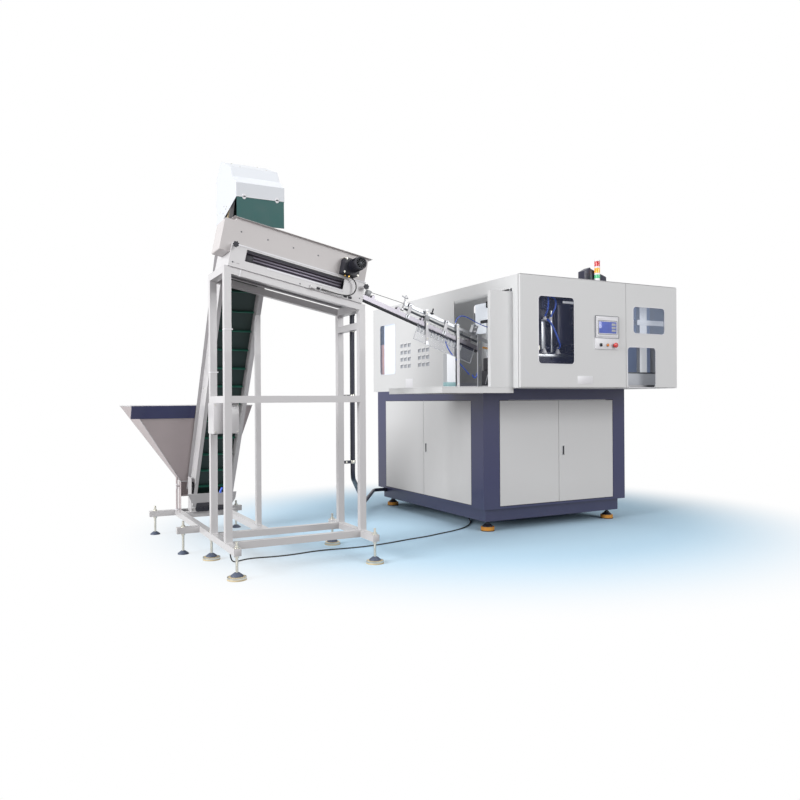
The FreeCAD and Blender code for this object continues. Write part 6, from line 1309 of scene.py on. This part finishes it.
class MACHINE_OT_control_box(PieceOperator):
    """Add the lid, screws and glands of the feeder's control box"""

    bl_idname = "machine.control_box"
    bl_label = "Control box"

    def execute(self, context):
        build("box_lid", "stand", block, ((-2525, -353, 975), (-2346, -349, 1185), 2.5))
        build("box_screws", "zinc", screw,
              *(((x, -353, z), (0, -1, 0), 5, 3) for x in (-2514, -2357) for z in (986, 1174)))
        build("box_glands", "black", rod,
              *(((x, -268, 972), (x, -268, 964), 13) for x in (-2382, -2420, -2458, -2496)), sides=6,
              bevel=1)
        return {"FINISHED"}


class MACHINE_OT_conduit(PieceOperator):
    """Cover the conduit's upright run with ribs and add its couplings and clips"""

    bl_idname = "machine.conduit"
    bl_label = "Conduit"

    def execute(self, context):
        bm = bmesh.new()
        for step in range(92):
            z = 1915 - step * 13.5
            rod(bm, (-1300, 15, z), (-1300, 15, z - 6.5), 20.6, sides=20)
        piece("conduit_ribs", bm, "conduit")
        bm = bmesh.new()
        rod(bm, (-1300, 15, 1932), (-1300, 15, 1898), 25, sides=28, bevel=3)
        rod(bm, (-1300, 15, 1938), (-1300, 15, 1930), 21, sides=28, bevel=2)
        rod(bm, (-30, 1990, 185), (0, 1990, 185), 25, sides=28, bevel=3)
        piece("conduit_couplings", bm, "black")
        bm = bmesh.new()
        for step in range(3):
            z = 685 + step * 540
            rod(bm, (-1300, 15, z - 1), (-1300, 15, z + 25), 23.5, sides=32, bevel=1)
            bolt(bm, (-1360, 3, z + 12), (0, -1, 0), 5.5, 4)
        piece("conduit_clips", bm, "zinc")
        return {"FINISHED"}


class MACHINE_OT_machine_feet(PieceOperator):
    """Add the dark cores and studs of the machine's damping feet"""

    bl_idname = "machine.machine_feet"
    bl_label = "Machine feet"

    def execute(self, context):
        bm = bmesh.new()
        feet = [(x, y) for x in (75, 1525) for y in (75, 1975)]
        for x, y in feet:
            rod(bm, (x, y, 39.5), (x, y, 60), 54, 33, sides=40, bevel=2)
            rod(bm, (x, y, 60), (x, y, 74), 24, sides=6, bevel=2)
            rod(bm, (x, y, 74), (x, y, 96), 13, sides=24)
        piece("foot_cores", bm, "iron")
        build("foot_soles", "rubber", rod, *(((x, y, 0.5), (x, y, 9), 63.5, 62.5) for x, y in feet),
              sides=48, bevel=2)
        return {"FINISHED"}


# ---- Camera, light and floor --------------------------------------------------------------------------


class MACHINE_OT_camera(bpy.types.Operator):
    """Set the camera where the photograph was taken from"""

    bl_idname = "machine.camera"
    bl_label = "Camera"
    bl_options = {"REGISTER", "UNDO"}

    def execute(self, context):
        lens = bpy.data.cameras.new("camera")
        lens.sensor_width = 36
        lens.lens = context.scene.machine_studio.lens
        lens.clip_end = 100
        made = bpy.data.objects.new("camera", lens)
        context.scene.collection.objects.link(made)
        yaw, pitch, roll = math.radians(27.72), math.radians(0.05), math.radians(-0.33)
        turn = (Matrix.Rotation(-yaw, 4, "Z") @ Matrix.Rotation(math.pi / 2 + pitch, 4, "X")
                @ Matrix.Rotation(roll, 4, "Z"))
        made.matrix_world = Matrix.Translation(EYE) @ turn
        context.scene.camera = made
        return {"FINISHED"}


class MACHINE_OT_studio(bpy.types.Operator):
    """Lay the pale floor and set the soft studio lights"""

    bl_idname = "machine.studio"
    bl_label = "Studio"
    bl_options = {"REGISTER", "UNDO"}

    def execute(self, context):
        chosen = context.scene.machine_studio
        bm = bmesh.new()
        bmesh.ops.create_grid(bm, x_segments=1, y_segments=1, size=40)
        mesh = bpy.data.meshes.new("floor")
        bm.to_mesh(mesh)
        bm.free()
        floor = bpy.data.objects.new("floor", mesh)
        context.scene.collection.objects.link(floor)
        mesh.materials.append(self.floor_finish(chosen.floor))

        world = bpy.data.worlds.new("studio")
        world.use_nodes = True
        context.scene.world = world
        tree = world.node_tree
        light = tree.nodes["Background"]
        light.inputs["Color"].default_value = (1, 1, 1, 1)
        light.inputs["Strength"].default_value = chosen.fill
        seen = add(tree, "ShaderNodeBackground", {"Color": (1, 1, 1, 1),
                                                  "Strength": 1.0}).outputs["Background"]
        mix = add(tree, "ShaderNodeMixShader", {"Fac": self.direct(tree), 1: light.outputs["Background"],
                                                2: seen})
        tree.links.new(mix.outputs["Shader"], tree.nodes["World Output"].inputs["Surface"])

        middle = Vector((0, 0, 1.2))
        for name, where, size, power in (("key", (-15.0, -3.0, 6.0), 7.0, 2550 * chosen.key),
                                         ("front", (5.0, -15.0, 6.0), 7.0, 1050 * chosen.key),
                                         ("top", (0.0, 0.0, 9.0), 6.0, 230 * chosen.key)):
            lamp = bpy.data.lights.new(name, "AREA")
            lamp.size = size
            lamp.energy = power
            made = bpy.data.objects.new(name, lamp)
            made.location = where
            made.rotation_euler = (middle - Vector(where)).to_track_quat("-Z", "Y").to_euler()
            context.scene.collection.objects.link(made)
        context.scene.view_settings.view_transform = "Standard"
        return {"FINISHED"}

    def direct(self, tree):
        """Return the share of the rays that show the background: straight, mirrored or through glass."""
        path = add(tree, "ShaderNodeLightPath", {}).outputs
        either = add(tree, "ShaderNodeMath", {0: path["Is Camera Ray"], 1: path["Is Glossy Ray"]},
                     operation="MAXIMUM").outputs["Value"]
        return add(tree, "ShaderNodeMath", {0: either, 1: path["Is Transmission Ray"]},
                   operation="MAXIMUM").outputs["Value"]

    def floor_finish(self, colour):
        """Make the floor: pale blue round the machine, white far off, duller in the light it returns."""
        made = bpy.data.materials.new("pale studio floor")
        made.use_nodes = True
        tree = made.node_tree
        tree.nodes.remove(tree.nodes["Principled BSDF"])
        place = add(tree, "ShaderNodeTexCoord", {}).outputs["Object"]
        off = add(tree, "ShaderNodeVectorMath", {0: place, 1: PALE_MIDDLE},
                  operation="DISTANCE").outputs["Value"]
        far = add(tree, "ShaderNodeMapRange", {"Value": off, "From Min": PALE_TO, "From Max": WHITE_FROM},
                  interpolation_type="SMOOTHSTEP").outputs["Result"]
        near = add(tree, "ShaderNodeBsdfDiffuse", {"Color": colour}).outputs["BSDF"]
        white = add(tree, "ShaderNodeEmission", {"Strength": 1.0}).outputs["Emission"]
        shown = add(tree, "ShaderNodeMixShader", {"Fac": far, 1: near, 2: white}).outputs["Shader"]
        warm = add(tree, "ShaderNodeBsdfDiffuse", {"Color": shade("#8f8b8b")}).outputs["BSDF"]
        mix = add(tree, "ShaderNodeMixShader", {"Fac": self.direct(tree), 1: warm, 2: shown})
        tree.links.new(mix.outputs["Shader"], tree.nodes["Material Output"].inputs["Surface"])
        return made


# ---- Panel, registration and main ---------------------------------------------------------------------

ORDER = (
    MACHINE_OT_camera, MACHINE_OT_cords, MACHINE_OT_dress_frame, MACHINE_OT_windows, MACHINE_OT_doors,
    MACHINE_OT_control_panel, MACHINE_OT_roof_pieces, MACHINE_OT_clamp, MACHINE_OT_loading_bay,
    MACHINE_OT_chute, MACHINE_OT_trough, MACHINE_OT_gearmotor, MACHINE_OT_elevator, MACHINE_OT_hood,
    MACHINE_OT_curtain, MACHINE_OT_stand, MACHINE_OT_hopper, MACHINE_OT_control_box, MACHINE_OT_conduit,
    MACHINE_OT_machine_feet, MACHINE_OT_studio,
)


class MACHINE_PT_pieces(bpy.types.Panel):
    """List the machine's pieces, sizes and colours"""

    bl_idname = "MACHINE_PT_pieces"
    bl_label = "Blow moulding machine"
    bl_space_type = "VIEW_3D"
    bl_region_type = "UI"
    bl_category = "Machine"

    def draw(self, context):
        for group in (context.scene.machine_finishes, context.scene.machine_trim,
                      context.scene.machine_studio):
            box = self.layout.box()
            for name in group.__annotations__:
                box.prop(group, name)
        for step in ORDER:
            self.layout.operator(step.bl_idname)


CLASSES = (MachineFinishes, MachineTrim, MachineStudio, *ORDER, MACHINE_PT_pieces)


def register():
    """Register the classes and put the settings on the scene."""
    for each in CLASSES:
        bpy.utils.register_class(each)
    bpy.types.Scene.machine_finishes = bpy.props.PointerProperty(type=MachineFinishes)
    bpy.types.Scene.machine_trim = bpy.props.PointerProperty(type=MachineTrim)
    bpy.types.Scene.machine_studio = bpy.props.PointerProperty(type=MachineStudio)


def unregister():
    """Take the settings off the scene and unregister the classes."""
    del bpy.types.Scene.machine_studio
    del bpy.types.Scene.machine_trim
    del bpy.types.Scene.machine_finishes
    for each in reversed(CLASSES):
        bpy.utils.unregister_class(each)


def main():
    """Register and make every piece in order."""
    register()
    for step in ORDER:
        group, name = step.bl_idname.split(".")
        getattr(getattr(bpy.ops, group), name)()


if __name__ == "__main__":
    main()
